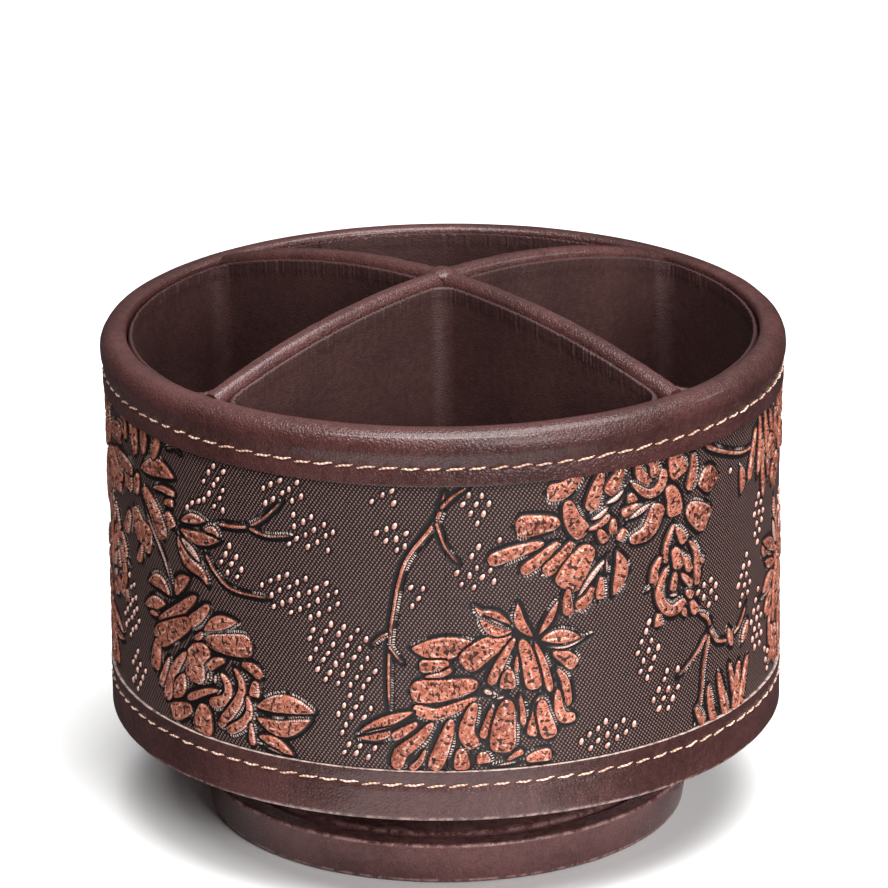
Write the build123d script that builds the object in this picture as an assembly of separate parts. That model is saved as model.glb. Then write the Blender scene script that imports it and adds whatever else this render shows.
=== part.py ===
from build123d import *
import os

# Round leather-covered desk holder that turns on a low base, in millimetres.
# +Z is up and the origin is the centre of the felt that rests on the desk.
# The dividers run along X and Y, and the front compartment is the one at +X, -Y.

# ---- base ----
SKIN = 0.8               # covering leather
PAD_R = 55.0             # felt pad that rests on the desk
PAD_T = 1.2
BASE_BOTTOM_R = 57.2     # the covered base is a little wider at its top
BASE_TOP_R = 59.0
BASE_FOOT_Z = 0.2        # the leather stops just short of the desk, round the felt
BASE_RIM_R = 53.0        # inside this the top is 0.8 lower, and the top disc fills it
BASE_TOP_Z = 9.8
BASE_TURN_R = 46.0       # inner edge of the leather turned over the board
TOP_DISC_R = 52.0        # disc that hides that edge
BASE_EDGE_R = 0.7

# ---- swivel ----
SWIVEL_Z = BASE_TOP_Z + SKIN
SWIVEL_H = 14.8
PLATE_T = 2.5            # flat plate of each race
LOWER_PLATE_R = 38.0
UPPER_PLATE_R = 33.0
RACE_IN_R = 21.0         # ring that carries the ball groove
RACE_OUT_R = 31.0
RACE_GAP = 1.2
BALL_R = 2.5
BALL_PLAY = 0.2
BALL_RING_R = 26.0
BALL_COUNT = 24
CAGE_IN_R = 22.8
CAGE_OUT_R = 29.2
CAGE_T = 0.8
HUB_R = 11.0
RIVET_R = 4.0            # hollow rivet that the cup turns on
RIVET_BORE_R = 3.0
RIVET_FLANGE_R = 6.5
RIVET_FLANGE_T = 1.0
RIVET_PLAY = 0.08
WASHER_R = 8.0
WASHER_T = 0.8
HUB_RECESS_R = 9.0
SCREW_R = 1.5
SCREW_HEAD_R = 3.0
SCREW_HEAD_H = 1.4
SCREW_LENGTH = 10.0
SCREW_POINT = 2.0
SCREW_ANGLES = (45, 135, 225, 315)
LOWER_SCREW_RING_R = 34.5
UPPER_SCREW_RING_R = 16.0
SCREW_BOSS_R = 3.4

# ---- cup ----
CUP_Z = SWIVEL_Z + SWIVEL_H
BAND_T = 1.0             # leather turned in under the cup
FLOOR_T = 4.0
WALL_IN_R = 75.2
WALL_OUT_R = 78.4
WALL_TOP_Z = 118.0
WALL_EDGE_R = 1.0
PANEL_R = 79.7           # embossed panel, foam-backed
TONGUE_R = 78.9          # thinned panel edge that the bands lap over
TONGUE_LAP = 6.0
LOWER_BAND_R = 80.1
LOWER_BAND_TOP_Z = 37.9
LOWER_BAND_EDGE_R = 1.6
LOWER_TURN_R = 66.0
RIM_BAND_Z = 106.4
RIM_BAND_R = 80.2
RIM_BULGE_R = 80.6
RIM_TOP_Z = 119.2
RIM_FLAT_R = 77.3        # the flat of the rim ends here and the shoulder starts
RIM_IN_R = 74.4
RIM_IN_EDGE_R = 1.4
RIM_LEG_Z = 104.0        # lower end of the leather inside the cup
SHOULDER_Z = 112.0

# ---- dividers, linings and stitching ----
BOARD_T = 3.4
CREST_RISE = 12.3        # crest of the arched dividers above the rim
ARCH_HALF_CHORD = 75.0
PATCH_R = 3.2            # small domed leather patch where the dividers cross
PATCH_RISE = 0.9
LINING_T = 1.0
LINING_DROP = 2.0        # top edge of the lining, below the divider's top
LINING_GAP = 0.3
LINING_CORNER_R = 4.0
FLOOR_PAD_T = 1.5
STITCH_DEPTH = 0.45
STITCH_LENGTH = 3.5
STITCH_WIDTH = 0.8
STITCH_TILT = 7.0
STITCH_COUNT = 100
RIM_STITCH_Z = 110.6
LOWER_STITCH_Z = 34.5

# ---- worked out from the above ----
CORE_Z = PAD_T + SKIN
CORE_TOP_Z = BASE_TOP_Z - SKIN
BALL_Z = SWIVEL_Z + SWIVEL_H / 2
LOWER_RACE_TOP_Z = BALL_Z - RACE_GAP / 2
UPPER_RACE_Z = BALL_Z + RACE_GAP / 2
RIVET_TOP_Z = CUP_Z - 0.6
WASHER_Z = RIVET_TOP_Z - RIVET_FLANGE_T - WASHER_T
FLOOR_Z = CUP_Z + BAND_T
FLOOR_TOP_Z = FLOOR_Z + FLOOR_T
WRAP_T = BOARD_T + 2 * SKIN
ARCH_R = (ARCH_HALF_CHORD**2 + CREST_RISE**2) / (2 * CREST_RISE)
CREST_Z = RIM_TOP_Z + CREST_RISE
HALF_LAP_Z = (FLOOR_TOP_Z + CREST_Z) / 2
QUADRANTS = {"front": 270, "right": 0, "back": 90, "left": 180}


def turned(*points):
    """Solid of revolution about Z from an outline of (radius, height) points."""
    return revolve(Plane.XZ * make_face(Polyline(*points, close=True)), Axis.Z)


def disc(radius, low, high, bore=0.0):
    """Flat disc or washer between two heights."""
    return turned((bore, low), (radius, low), (radius, high), (bore, high))


def block(x, y, z):
    """Box between three pairs of limits."""
    size = [high - low for low, high in (x, y, z)]
    return Pos(*((low + high) / 2 for low, high in (x, y, z))) * Box(*size)


def ring_of(solid, radius, angles):
    """Copies of a solid that stands on the axis, each moved out to a ring."""
    return [Rot(0, 0, angle) * Pos(radius, 0, 0) * solid for angle in angles]


def without(solid, tools):
    """The solid with each tool taken out of it."""
    for tool in tools:
        solid = solid - tool
    return solid


def rounded(solid, radius, outside, heights=None):
    """Round the circular edges that are wider than a radius, at all or some heights."""
    edges = [edge for edge in solid.edges().filter_by(GeomType.CIRCLE) if edge.radius > outside]
    if heights:
        edges = [edge for edge in edges if min(abs(edge.center().Z - z) for z in heights) < 0.01]
    return fillet(edges, radius)


def screws(seat_z, ring_r, countersunk):
    """The four screws of one race, with their heads seated at a height."""
    tip_z = seat_z - SCREW_LENGTH
    shank = [(0, tip_z), (SCREW_R, tip_z + SCREW_POINT)]
    if countersunk:
        head = [(SCREW_R, seat_z - SCREW_HEAD_R + SCREW_R), (SCREW_HEAD_R, seat_z), (0, seat_z)]
    else:
        head_z = seat_z + SCREW_HEAD_H
        head = [(SCREW_R, seat_z), (SCREW_HEAD_R, seat_z), (SCREW_HEAD_R, seat_z + SCREW_HEAD_H / 2),
                (SCREW_R, head_z), (0, head_z)]
    return ring_of(turned(*shank, *head), ring_r, SCREW_ANGLES)


# ---- base ----
def base_radius(z):
    """Outer radius of the covered base at a height."""
    share = (z - BASE_FOOT_Z) / (SWIVEL_Z - BASE_FOOT_Z)
    return BASE_BOTTOM_R + share * (BASE_TOP_R - BASE_BOTTOM_R)


def make_base(lower_screws):
    """Felt disc, fibreboard disc, the leather wrapped round it and its top disc."""
    core = turned((0, CORE_Z), (base_radius(CORE_Z) - SKIN, CORE_Z),
                  (base_radius(CORE_TOP_Z) - SKIN, CORE_TOP_Z), (0, CORE_TOP_Z))
    foot_r = PAD_R + BASE_FOOT_Z
    cover = turned((BASE_TURN_R, PAD_T), (foot_r, PAD_T), (foot_r, BASE_FOOT_Z), (BASE_BOTTOM_R, BASE_FOOT_Z),
                   (BASE_TOP_R, SWIVEL_Z), (BASE_RIM_R, SWIVEL_Z), (BASE_RIM_R, BASE_TOP_Z),
                   (BASE_TURN_R, BASE_TOP_Z))
    top_disc = disc(TOP_DISC_R, BASE_TOP_Z, SWIVEL_Z) + disc(BASE_TURN_R, CORE_TOP_Z, BASE_TOP_Z)
    return {
        "base_felt": disc(PAD_R, 0, PAD_T),
        "base_core": without(core, lower_screws),
        "base_cover": rounded(cover, BASE_EDGE_R, PAD_R + 1) - core,
        "base_top_disc": without(top_disc, lower_screws),
    }


# ---- swivel ----
def make_races(lower_screws, upper_screws):
    """Moulded lower and upper races, each with a plate, a hub and a grooved ring."""
    groove = Pos(0, 0, BALL_Z) * Torus(BALL_RING_R, BALL_R + BALL_PLAY)
    plate_z = CUP_Z - PLATE_T
    lower = disc(LOWER_PLATE_R, SWIVEL_Z, SWIVEL_Z + PLATE_T)
    lower += disc(RACE_OUT_R, SWIVEL_Z, LOWER_RACE_TOP_Z, RACE_IN_R)
    lower += disc(HUB_R, SWIVEL_Z, LOWER_RACE_TOP_Z)
    lower -= disc(RIVET_R, SWIVEL_Z, LOWER_RACE_TOP_Z)
    lower -= disc(RIVET_FLANGE_R, SWIVEL_Z, SWIVEL_Z + RIVET_FLANGE_T)
    upper = disc(UPPER_PLATE_R, plate_z, CUP_Z)
    upper += disc(RACE_OUT_R, UPPER_RACE_Z, CUP_Z, RACE_IN_R)
    upper += disc(HUB_R, UPPER_RACE_Z, CUP_Z)
    upper = upper + ring_of(disc(SCREW_BOSS_R, UPPER_RACE_Z, CUP_Z), UPPER_SCREW_RING_R, SCREW_ANGLES)
    upper -= disc(RIVET_R + RIVET_PLAY, UPPER_RACE_Z, CUP_Z)
    upper -= disc(HUB_RECESS_R, WASHER_Z - BALL_PLAY, CUP_Z)
    return {
        "swivel_lower_race": without(lower - groove, lower_screws),
        "swivel_upper_race": without(upper - groove, upper_screws),
    }


def make_pivot():
    """Hollow rivet with a flange at each end, and the washer under the upper flange."""
    rivet = disc(RIVET_R, SWIVEL_Z, RIVET_TOP_Z)
    rivet += disc(RIVET_FLANGE_R, SWIVEL_Z, SWIVEL_Z + RIVET_FLANGE_T)
    rivet += disc(RIVET_FLANGE_R, RIVET_TOP_Z - RIVET_FLANGE_T, RIVET_TOP_Z)
    rivet -= disc(RIVET_BORE_R, SWIVEL_Z, RIVET_TOP_Z)
    return {
        "pivot_rivet": rivet,
        "pivot_washer": disc(WASHER_R, WASHER_Z, WASHER_Z + WASHER_T, RIVET_R),
    }


def make_ball_ring():
    """Flat cage between the races and the balls that it spaces out."""
    angles = [360 * n / BALL_COUNT for n in range(BALL_COUNT)]
    cage = disc(CAGE_OUT_R, BALL_Z - CAGE_T / 2, BALL_Z + CAGE_T / 2, CAGE_IN_R)
    window = Pos(0, 0, BALL_Z) * Cylinder(BALL_R + BALL_PLAY / 2, 2 * CAGE_T)
    ball = Pos(0, 0, BALL_Z) * Sphere(BALL_R)
    return {
        "ball_cage": without(cage, ring_of(window, BALL_RING_R, angles)),
        "bearing_balls": Compound(children=ring_of(ball, BALL_RING_R, angles)),
    }


# ---- cup shell ----
def make_shell(upper_screws):
    """Fibreboard floor and tube, embossed panel, the two bands and the underside cover."""
    tube = rounded(disc(WALL_OUT_R, FLOOR_Z, WALL_TOP_Z, WALL_IN_R), WALL_EDGE_R, 0, [WALL_TOP_Z])
    panel = disc(TONGUE_R, LOWER_BAND_TOP_Z - TONGUE_LAP, RIM_BAND_Z + TONGUE_LAP, WALL_OUT_R)
    panel += disc(PANEL_R, LOWER_BAND_TOP_Z, RIM_BAND_Z, WALL_OUT_R)

    outside = Line((RIM_BAND_R, RIM_BAND_Z), (RIM_BAND_R, SHOULDER_Z))
    shoulder = Spline((RIM_BAND_R, SHOULDER_Z), (RIM_BULGE_R, SHOULDER_Z + 2.6),
                      (RIM_FLAT_R, RIM_TOP_Z), tangents=[(0, 1), (-1, 0)])
    inside = Polyline((RIM_FLAT_R, RIM_TOP_Z), (RIM_IN_R, RIM_TOP_Z), (RIM_IN_R, RIM_LEG_Z),
                      (WALL_IN_R, RIM_LEG_Z), (WALL_IN_R, RIM_BAND_Z), (RIM_BAND_R, RIM_BAND_Z))
    rim_band = revolve(Plane.XZ * make_face([outside, shoulder, inside]), Axis.Z)
    rim_band = rounded(rim_band, RIM_IN_EDGE_R, 0, [RIM_TOP_Z])

    lower_band = disc(LOWER_BAND_R, CUP_Z, LOWER_BAND_TOP_Z, LOWER_TURN_R)
    lower_band = rounded(lower_band, LOWER_BAND_EDGE_R, WALL_OUT_R, [CUP_Z])
    lower_band -= disc(WALL_OUT_R, FLOOR_Z, LOWER_BAND_TOP_Z)
    floor = disc(WALL_IN_R, FLOOR_Z, FLOOR_TOP_Z)
    return {
        "cup_floor": without(floor, upper_screws),
        "wall_core": tube,
        "embossed_panel": panel,
        "rim_band": rim_band - tube - panel,
        "lower_band": lower_band - panel,
        "underside_cover": without(disc(LOWER_TURN_R, CUP_Z, FLOOR_Z), upper_screws),
    }


# ---- dividers ----
def arch(drop):
    """Ball whose top is the common arch of the dividers, lowered by a drop."""
    return Pos(0, 0, CREST_Z - ARCH_R) * Sphere(ARCH_R - drop)


def under_arch(thickness, drop, turn):
    """Upright slab along X, or along Y when turned, with the arch as its top."""
    slab = block((-RIM_IN_R, RIM_IN_R), (-thickness / 2, thickness / 2), (FLOOR_TOP_Z, CREST_Z))
    return Rot(0, 0, turn) * (slab & disc(RIM_IN_R, FLOOR_TOP_Z, CREST_Z) & arch(drop))


def make_dividers():
    """Half-lapped boards, each in its own leather wrap, and the patch over the crossing."""
    board = BOARD_T / 2
    wrap = WRAP_T / 2
    lap = block((-board, board), (-wrap, wrap), (FLOOR_TOP_Z, HALF_LAP_Z))
    board_x = under_arch(BOARD_T, SKIN, 0)
    board_y = under_arch(BOARD_T, SKIN, 90)
    crossing = block((-board, board), (-wrap, wrap), (HALF_LAP_Z, CREST_Z))
    wrap_y = under_arch(WRAP_T, 0, 90) - board_y
    between = block((-wrap, wrap), (-wrap, wrap), (FLOOR_TOP_Z, CREST_Z))
    sides = {"left": (-RIM_IN_R, 0), "right": (0, RIM_IN_R)}
    height = (FLOOR_TOP_Z, CREST_Z)
    dome_r = (PATCH_R**2 + PATCH_RISE**2) / (2 * PATCH_RISE)
    patch = Pos(0, 0, CREST_Z + PATCH_RISE - dome_r) * Sphere(dome_r)
    nodes = {
        "divider_board_x": board_x - lap,
        "divider_board_y": board_y - crossing,
        "divider_wrap_x": under_arch(WRAP_T, 0, 0) - board_x - lap,
        "crossing_patch": patch - arch(0),
    }
    for side, reach in sides.items():
        half = block((-wrap, wrap), reach, height)
        nodes["divider_wrap_y_" + side] = (wrap_y - between) & half
    return nodes


# ---- compartments ----
def make_compartments():
    """Lining and floor pad of each quarter, from one quarter turned to the others."""
    side = WRAP_T / 2
    face = side + LINING_T
    height = (FLOOR_TOP_Z, CREST_Z)
    outer = block((side, WALL_IN_R), (side, WALL_IN_R), height) & disc(WALL_IN_R, *height)
    outer -= disc(WALL_IN_R, RIM_LEG_Z, CREST_Z, RIM_IN_R - LINING_GAP)
    inner_r = RIM_IN_R - LINING_GAP - LINING_T
    inner = block((face, WALL_IN_R), (face, WALL_IN_R), height) & disc(inner_r, *height)
    upright = [e for e in inner.edges().filter_by(Axis.Z) if e.center().X + e.center().Y > inner_r]
    inner = fillet(upright, LINING_CORNER_R)
    lining = (outer - inner) & arch(LINING_DROP)
    pad = inner & block((0, WALL_IN_R), (0, WALL_IN_R), (FLOOR_TOP_Z, FLOOR_TOP_Z + FLOOR_PAD_T))
    nodes = {}
    for place, turn in QUADRANTS.items():
        nodes[place + "_lining"] = Rot(0, 0, turn) * lining
        nodes[place + "_floor_felt"] = Rot(0, 0, turn) * pad
    return nodes


# ---- stitching ----
def make_stitches(radius, height):
    """Row of slightly tilted stitches lying on a band."""
    angles = [360 * n / STITCH_COUNT for n in range(STITCH_COUNT)]
    stitch = Rot(STITCH_TILT, 0, 0) * Box(STITCH_DEPTH, STITCH_LENGTH, STITCH_WIDTH)
    row = ring_of(Pos(STITCH_DEPTH / 2, 0, height) * stitch, radius, angles)
    return Compound(children=row)


def make_holder():
    """Every node of the holder by name."""
    lower_screws = screws(SWIVEL_Z + PLATE_T, LOWER_SCREW_RING_R, False)
    upper_screws = screws(FLOOR_TOP_Z, UPPER_SCREW_RING_R, True)
    nodes = {
        "lower_race_screws": Compound(children=lower_screws),
        "upper_race_screws": Compound(children=upper_screws),
        "rim_stitching": make_stitches(RIM_BAND_R, RIM_STITCH_Z),
        "lower_stitching": make_stitches(LOWER_BAND_R, LOWER_STITCH_Z),
    }
    nodes.update(make_base(lower_screws))
    nodes.update(make_races(lower_screws, upper_screws))
    nodes.update(make_pivot())
    nodes.update(make_ball_ring())
    nodes.update(make_shell(upper_screws))
    nodes.update(make_dividers())
    nodes.update(make_compartments())
    return nodes


os.makedirs("parts", exist_ok=True)
for name, node in make_holder().items():
    export_step(node, f"parts/{name}.step")
    print(name, round(node.volume), "mm3")
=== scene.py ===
import math
import random

import bmesh
import bpy
import numpy as np
from mathutils import Matrix, Vector, noise


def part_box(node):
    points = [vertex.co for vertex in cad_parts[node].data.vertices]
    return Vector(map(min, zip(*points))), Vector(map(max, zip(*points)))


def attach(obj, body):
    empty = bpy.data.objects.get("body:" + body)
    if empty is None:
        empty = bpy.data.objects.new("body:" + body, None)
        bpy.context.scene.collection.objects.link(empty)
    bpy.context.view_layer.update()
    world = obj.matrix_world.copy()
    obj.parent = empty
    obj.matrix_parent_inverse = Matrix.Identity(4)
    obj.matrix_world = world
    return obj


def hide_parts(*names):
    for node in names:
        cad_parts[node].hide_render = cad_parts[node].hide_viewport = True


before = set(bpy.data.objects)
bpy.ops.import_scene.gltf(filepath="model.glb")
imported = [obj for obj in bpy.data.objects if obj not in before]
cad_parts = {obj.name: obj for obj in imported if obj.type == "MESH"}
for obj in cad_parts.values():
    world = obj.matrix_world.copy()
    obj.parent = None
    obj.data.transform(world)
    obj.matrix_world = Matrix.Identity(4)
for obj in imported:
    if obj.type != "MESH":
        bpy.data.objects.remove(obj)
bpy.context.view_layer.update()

frontAngle = math.radians(-45)      # the side seen in use faces +X, -Y


# ---- small helpers: lengths are millimetres until a piece is finished ----
def extent(node):
    low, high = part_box(node)
    return {"low": low.z * 1000, "high": high.z * 1000, "out": high.x * 1000}


def arcPoints(centre, radius, fromDegrees, toDegrees, steps):
    points = []
    for n in range(steps + 1):
        a = math.radians(fromDegrees + (toDegrees - fromDegrees) * n / steps)
        points.append((centre[0] + radius * math.cos(a), centre[1] + radius * math.sin(a)))
    return points


def smooth(low, high, value):
    t = min(1.0, max(0.0, (value - low) / (high - low)))
    return t * t * (3 - 2 * t)


def turnProfile(outline, steps):    # closed outline of (radius, height) turned once round the axis
    wedges = 12                     # one wedge is spun and then repeated, which is quicker than a full spin
    bm = bmesh.new()
    verts = [bm.verts.new((r, 0, z)) for r, z in outline]
    edges = [bm.edges.new((verts[n - 1], verts[n])) for n in range(len(verts))]
    bmesh.ops.spin(bm, geom=verts + edges, cent=(0, 0, 0), axis=(0, 0, 1),
                   angle=math.tau / wedges, steps=steps // wedges, use_merge=False)
    wedge = bm.verts[:] + bm.edges[:] + bm.faces[:]
    for n in range(1, wedges):
        made = bmesh.ops.duplicate(bm, geom=wedge)["geom"]
        bmesh.ops.rotate(bm, cent=(0, 0, 0), matrix=Matrix.Rotation(math.tau * n / wedges, 3, "Z"),
                         verts=[item for item in made if isinstance(item, bmesh.types.BMVert)])
    bmesh.ops.remove_doubles(bm, verts=bm.verts, dist=0.002)
    onAxis = [edge for edge in bm.edges if edge.is_wire]
    bmesh.ops.delete(bm, geom=onAxis, context="EDGES")
    bmesh.ops.recalc_face_normals(bm, faces=bm.faces)
    return bm


def repeatShape(bm, count):         # copies of what is in bm
    size = len(bm.verts)
    fresh = bpy.data.meshes.new("fresh")        # a round trip puts the vertices in order
    bm.to_mesh(fresh)
    bm.clear()
    bm.from_mesh(fresh)
    bpy.data.meshes.remove(fresh)
    while len(bm.verts) < size * count:
        bmesh.ops.duplicate(bm, geom=bm.verts[:] + bm.edges[:] + bm.faces[:])
    bm.verts.ensure_lookup_table()
    bmesh.ops.delete(bm, geom=bm.verts[size * count:], context="VERTS")


def inGroups(bm, count):            # the vertices of each copy
    bm.verts.ensure_lookup_table()
    size = len(bm.verts) // count
    return [bm.verts[n * size:(n + 1) * size] for n in range(count)]


def moveRadially(bm, amount):       # amount(angle from the front, radius, height) is added to the radius
    for vert in bm.verts:
        radius = math.hypot(vert.co.x, vert.co.y)
        if radius < 1e-6:
            continue
        angle = (math.atan2(vert.co.y, vert.co.x) - frontAngle) % math.tau
        grown = 1 + amount(angle, radius, vert.co.z) / radius
        vert.co.x *= grown
        vert.co.y *= grown


def finishPiece(bm, name, material, body, nodes, sharp):
    bmesh.ops.scale(bm, vec=(0.001, 0.001, 0.001), verts=bm.verts)
    mesh = bpy.data.meshes.new(name)
    bm.to_mesh(mesh)
    bm.free()
    mesh.shade_smooth()
    mesh.set_sharp_from_angle(angle=math.radians(sharp))
    mesh.materials.append(material)
    piece = bpy.data.objects.new(name, mesh)
    bpy.context.scene.collection.objects.link(piece)
    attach(piece, body)
    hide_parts(*nodes)


# ---- shader helpers ----
class Wire:                         # a node's output that can be written in an expression
    def __init__(self, paint, socket):
        self.paint = paint
        self.socket = socket

    def math(self, operation, *others):
        values = dict(enumerate((self,) + others))
        return self.paint.node("Math", {"operation": operation}, values)

    def __add__(self, other):
        return self.math("ADD", other)

    def __mul__(self, other):
        return self.math("MULTIPLY", other)

    def __sub__(self, other):
        return self.math("SUBTRACT", other)

    def __rsub__(self, other):
        return self.paint.node("Math", {"operation": "SUBTRACT"}, {0: other, 1: self})

    def __truediv__(self, other):
        return self.math("DIVIDE", other)

    __radd__ = __add__
    __rmul__ = __mul__

    def rise(self, low, high):      # 0 below low, 1 above high, smooth between
        settings = {"interpolation_type": "SMOOTHSTEP"}
        return self.paint.node("MapRange", settings, {"Value": self, "From Min": low, "From Max": high})


class Paint:                        # a material and the ways to add to it
    def __init__(self, name):
        self.material = bpy.data.materials.new(name)
        self.material.use_nodes = True
        self.tree = self.material.node_tree
        self.shader = self.tree.nodes["Principled BSDF"]

    def node(self, kind, settings=None, values=None, output=0):
        made = self.tree.nodes.new("ShaderNode" + kind)
        for key, value in (settings or {}).items():
            if key == "stops":
                ramp = made.color_ramp.elements
                while len(ramp) < len(value):
                    ramp.new(0.5)
                for stop, (place, colour) in zip(ramp, value):
                    stop.position = place
                    stop.color = (*colour, 1)
            else:
                setattr(made, key, value)
        for key, value in (values or {}).items():
            if isinstance(value, Wire):
                self.tree.links.new(value.socket, made.inputs[key])
            else:
                made.inputs[key].default_value = value
        return Wire(self, made.outputs[output])

    def place(self):                # object coordinates in millimetres
        spot = self.node("TexCoord", output=3)
        return self.node("VectorMath", {"operation": "SCALE"}, {0: spot, "Scale": 1000.0})

    def apart(self, vector):
        return [self.node("SeparateXYZ", None, {0: vector}, output=n) for n in range(3)]

    def together(self, x, y, z):
        return self.node("CombineXYZ", None, {0: x, 1: y, 2: z})

    def noise(self, vector, scale, detail=3.0, roughness=0.55):
        values = {"Vector": vector, "Scale": scale, "Detail": detail, "Roughness": roughness}
        return self.node("TexNoise", None, values)

    def cells(self, vector, scale, feature="F1"):
        return self.node("TexVoronoi", {"feature": feature}, {"Vector": vector, "Scale": scale})

    def stretch(self, vector, factors):
        return self.node("VectorMath", {"operation": "MULTIPLY"}, {0: vector, 1: factors})

    def carried(self, name, output):            # a value the mesh carries: output 1 a vector, 2 a number
        return self.node("Attribute", {"attribute_name": name}, None, output)

    def mix(self, share, first, second):
        values = {"Factor": share, 6: colourOf(first), 7: colourOf(second)}
        return self.node("Mix", {"data_type": "RGBA"}, values, output=2)

    def bump(self, height, strength, distance):   # distance in millimetres
        return self.node("Bump", None, {"Height": height, "Strength": strength, "Distance": distance / 1000})

    def finish(self, **sockets):
        for key, value in sockets.items():
            socket = self.shader.inputs[socketNames[key]]
            if isinstance(value, Wire):
                self.tree.links.new(value.socket, socket)
            else:
                socket.default_value = colourOf(value)
        return self.material


socketNames = {"colour": "Base Color", "rough": "Roughness", "metal": "Metallic", "normal": "Normal",
               "coat": "Coat Weight", "coatRough": "Coat Roughness", "sheen": "Sheen Weight",
               "sheenRough": "Sheen Roughness", "specular": "Specular IOR Level"}


def colourOf(value):
    return (*value, 1.0) if isinstance(value, tuple) and len(value) == 3 else value


# ---- materials ----
def makeLeather(name, look):
    paint = Paint(name)
    spot = paint.place()
    pebbles = paint.cells(spot, look["grainPerMm"], "SMOOTH_F1")
    creases = paint.cells(spot, look["grainPerMm"] * 0.8, "DISTANCE_TO_EDGE")
    cloud = paint.noise(spot, 0.035, 3.0)
    mottle = paint.noise(spot, 0.6, 4.0, 0.65)
    drawn = paint.noise(paint.stretch(spot, (1, 1, 0.3)), 0.5, 4.0, 0.6)
    grain = pebbles * 0.9 + creases.rise(0.0, 0.3) * 0.35 + mottle * 0.5 + drawn * 0.7
    shade = cloud * 0.6 + mottle * 0.4
    colour = paint.mix(shade.rise(0.36, 0.66), look["dark"], look["light"])
    colour = paint.mix(creases.rise(0.12, 0.0) * 0.35, colour, look["crease"])
    height = paint.apart(spot)[2]
    if "edge" in look:              # pale line along the top face of a band
        paleTopLine = height.rise(look["edgeFrom"], look["edgeTo"]) * mottle.rise(0.25, 0.6)
        colour = paint.mix(paleTopLine, colour, look["edge"])
    for level, reach in look.get("foldHighlightLines", ()):     # painted highlights: pale lines along the folds at the given heights, standing in for light on the folds
        near = (1 - (height - level).math("ABSOLUTE").rise(0, reach)) * drawn.rise(0.40, 0.62)
        colour = paint.mix(near * 0.75, colour, look["foldHighlightColour"])
    rough = look["rough"] + (mottle - 0.5) * 0.16
    return paint.finish(colour=colour, rough=rough, coat=look["coat"], coatRough=look["coatRough"],
                        specular=look["specular"], normal=paint.bump(grain, look["bump"], 0.16))


def makeEmbossed(name, look):       # "lie" holds millimetres along a shape, across it and inside its edge
    paint = Paint(name)
    spot = paint.place()
    x, y, z = paint.apart(spot)
    turn = y.math("ARCTAN2", x) * (look["threadsRound"] / math.tau)
    rise = z / look["threadPitch"]
    lean = turn + rise * look["lean"]
    weave = (lean * math.tau).math("COSINE") * (rise * math.tau).math("COSINE")
    hollow = paint.carried("hollow", 2)         # 0 to 1 on the ground, and 3 on pale flicks
    along, side, inward = paint.apart(paint.carried("lie", 1))
    uneven = paint.noise(spot, 0.8, 3.0)
    fine = paint.noise(spot, 3.5, 2.0)
    threads = weave.rise(0.12, 0.52) * (1 - hollow.rise(0.1, 0.8))
    raised = inward.rise(-0.02, 0.07)
    # ticks and fringe: raised hatching just outside and just inside each shape's edge; their near-white
    # colour is partly a painted highlight, kept to one side of each shape as if lit from there
    patchy = paint.noise(spot, 0.17, 2.0).rise(0.47, 0.56) * side.rise(-0.1, 0.2)
    teeth = ((along + uneven * 1.3) * (math.tau / look["toothPitch"])).math("COSINE").rise(-0.1, 0.6)
    ticks = teeth * inward.rise(-0.85, -0.6) * (1 - inward.rise(-0.16, -0.02)) * patchy
    fringe = teeth * inward.rise(0.03, 0.10) * (1 - inward.rise(0.40, 0.65)) * patchy
    pits = paint.noise(paint.together(along * 1.15, side * 0.8, 0.0), 0.95, 1.0, 0.4)
    specks = pits.rise(0.555, 0.590) * inward.rise(0.40, 0.75)
    squiggles = paint.noise(paint.together(along * 2.2, side * 0.7, 3.0), 1.0, 1.0).rise(0.60, 0.65)
    specks = specks.math("MAXIMUM", squiggles * inward.rise(0.5, 0.8) * 0.8)
    # painted highlight: pale patches on the raised shapes stand in for shine on the copper
    shine = paint.noise(paint.together(along * 0.6, side * 1.2, 0.0), 0.9, 1.5)
    shine = shine.rise(0.52, 0.68) * inward.rise(0.1, 0.3)
    colour = paint.mix(threads * (0.45 + uneven * 0.9), look["gap"], look["thread"])
    # near-black in the hollow round each shape: partly the ground's own smooth dark, partly painted shade;
    # round the beads it is painted shadow
    colour = paint.mix(hollow.rise(0.15, 0.75), colour, look["outline"])
    colour = paint.mix(ticks * (0.4 + fine * 0.7), colour, look["tick"])
    tone = uneven * 0.55 + paint.noise(spot, 0.09, 1.0) * 0.45
    toneAndSheen = paint.mix(tone.rise(0.36, 0.62), look["deep"], look["copper"])
    toneAndSheen = paint.mix(shine * 0.62, toneAndSheen, look["pale"])
    toneAndSheen = paint.mix(fringe * 0.9, toneAndSheen, look["tick"])
    toneAndSheen = paint.mix(hollow.rise(1.6, 2.6) * (0.15 + teeth * 0.6), toneAndSheen, look["tick"])
    toneAndSheen = paint.mix(specks * 0.92, toneAndSheen, look["speck"])
    # painted shade: darkening just inside each shape's edge
    toneAndSheen = paint.mix(inward.rise(0.30, 0.07) * 0.95, toneAndSheen, look["outline"])
    colour = paint.mix(raised, colour, toneAndSheen)
    height = threads * 0.9 + uneven * 0.25 + ticks * 1.2 + fringe * 0.8 + fine * 0.2 - specks * 1.1
    rough = 0.50 - threads * 0.08 - raised * 0.17 + specks * 0.2 + (fine - 0.5) * 0.12
    return paint.finish(colour=colour, rough=rough, metal=raised * look["metal"], specular=look["specular"],
                        normal=paint.bump(height, 0.75, 0.2))


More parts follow.
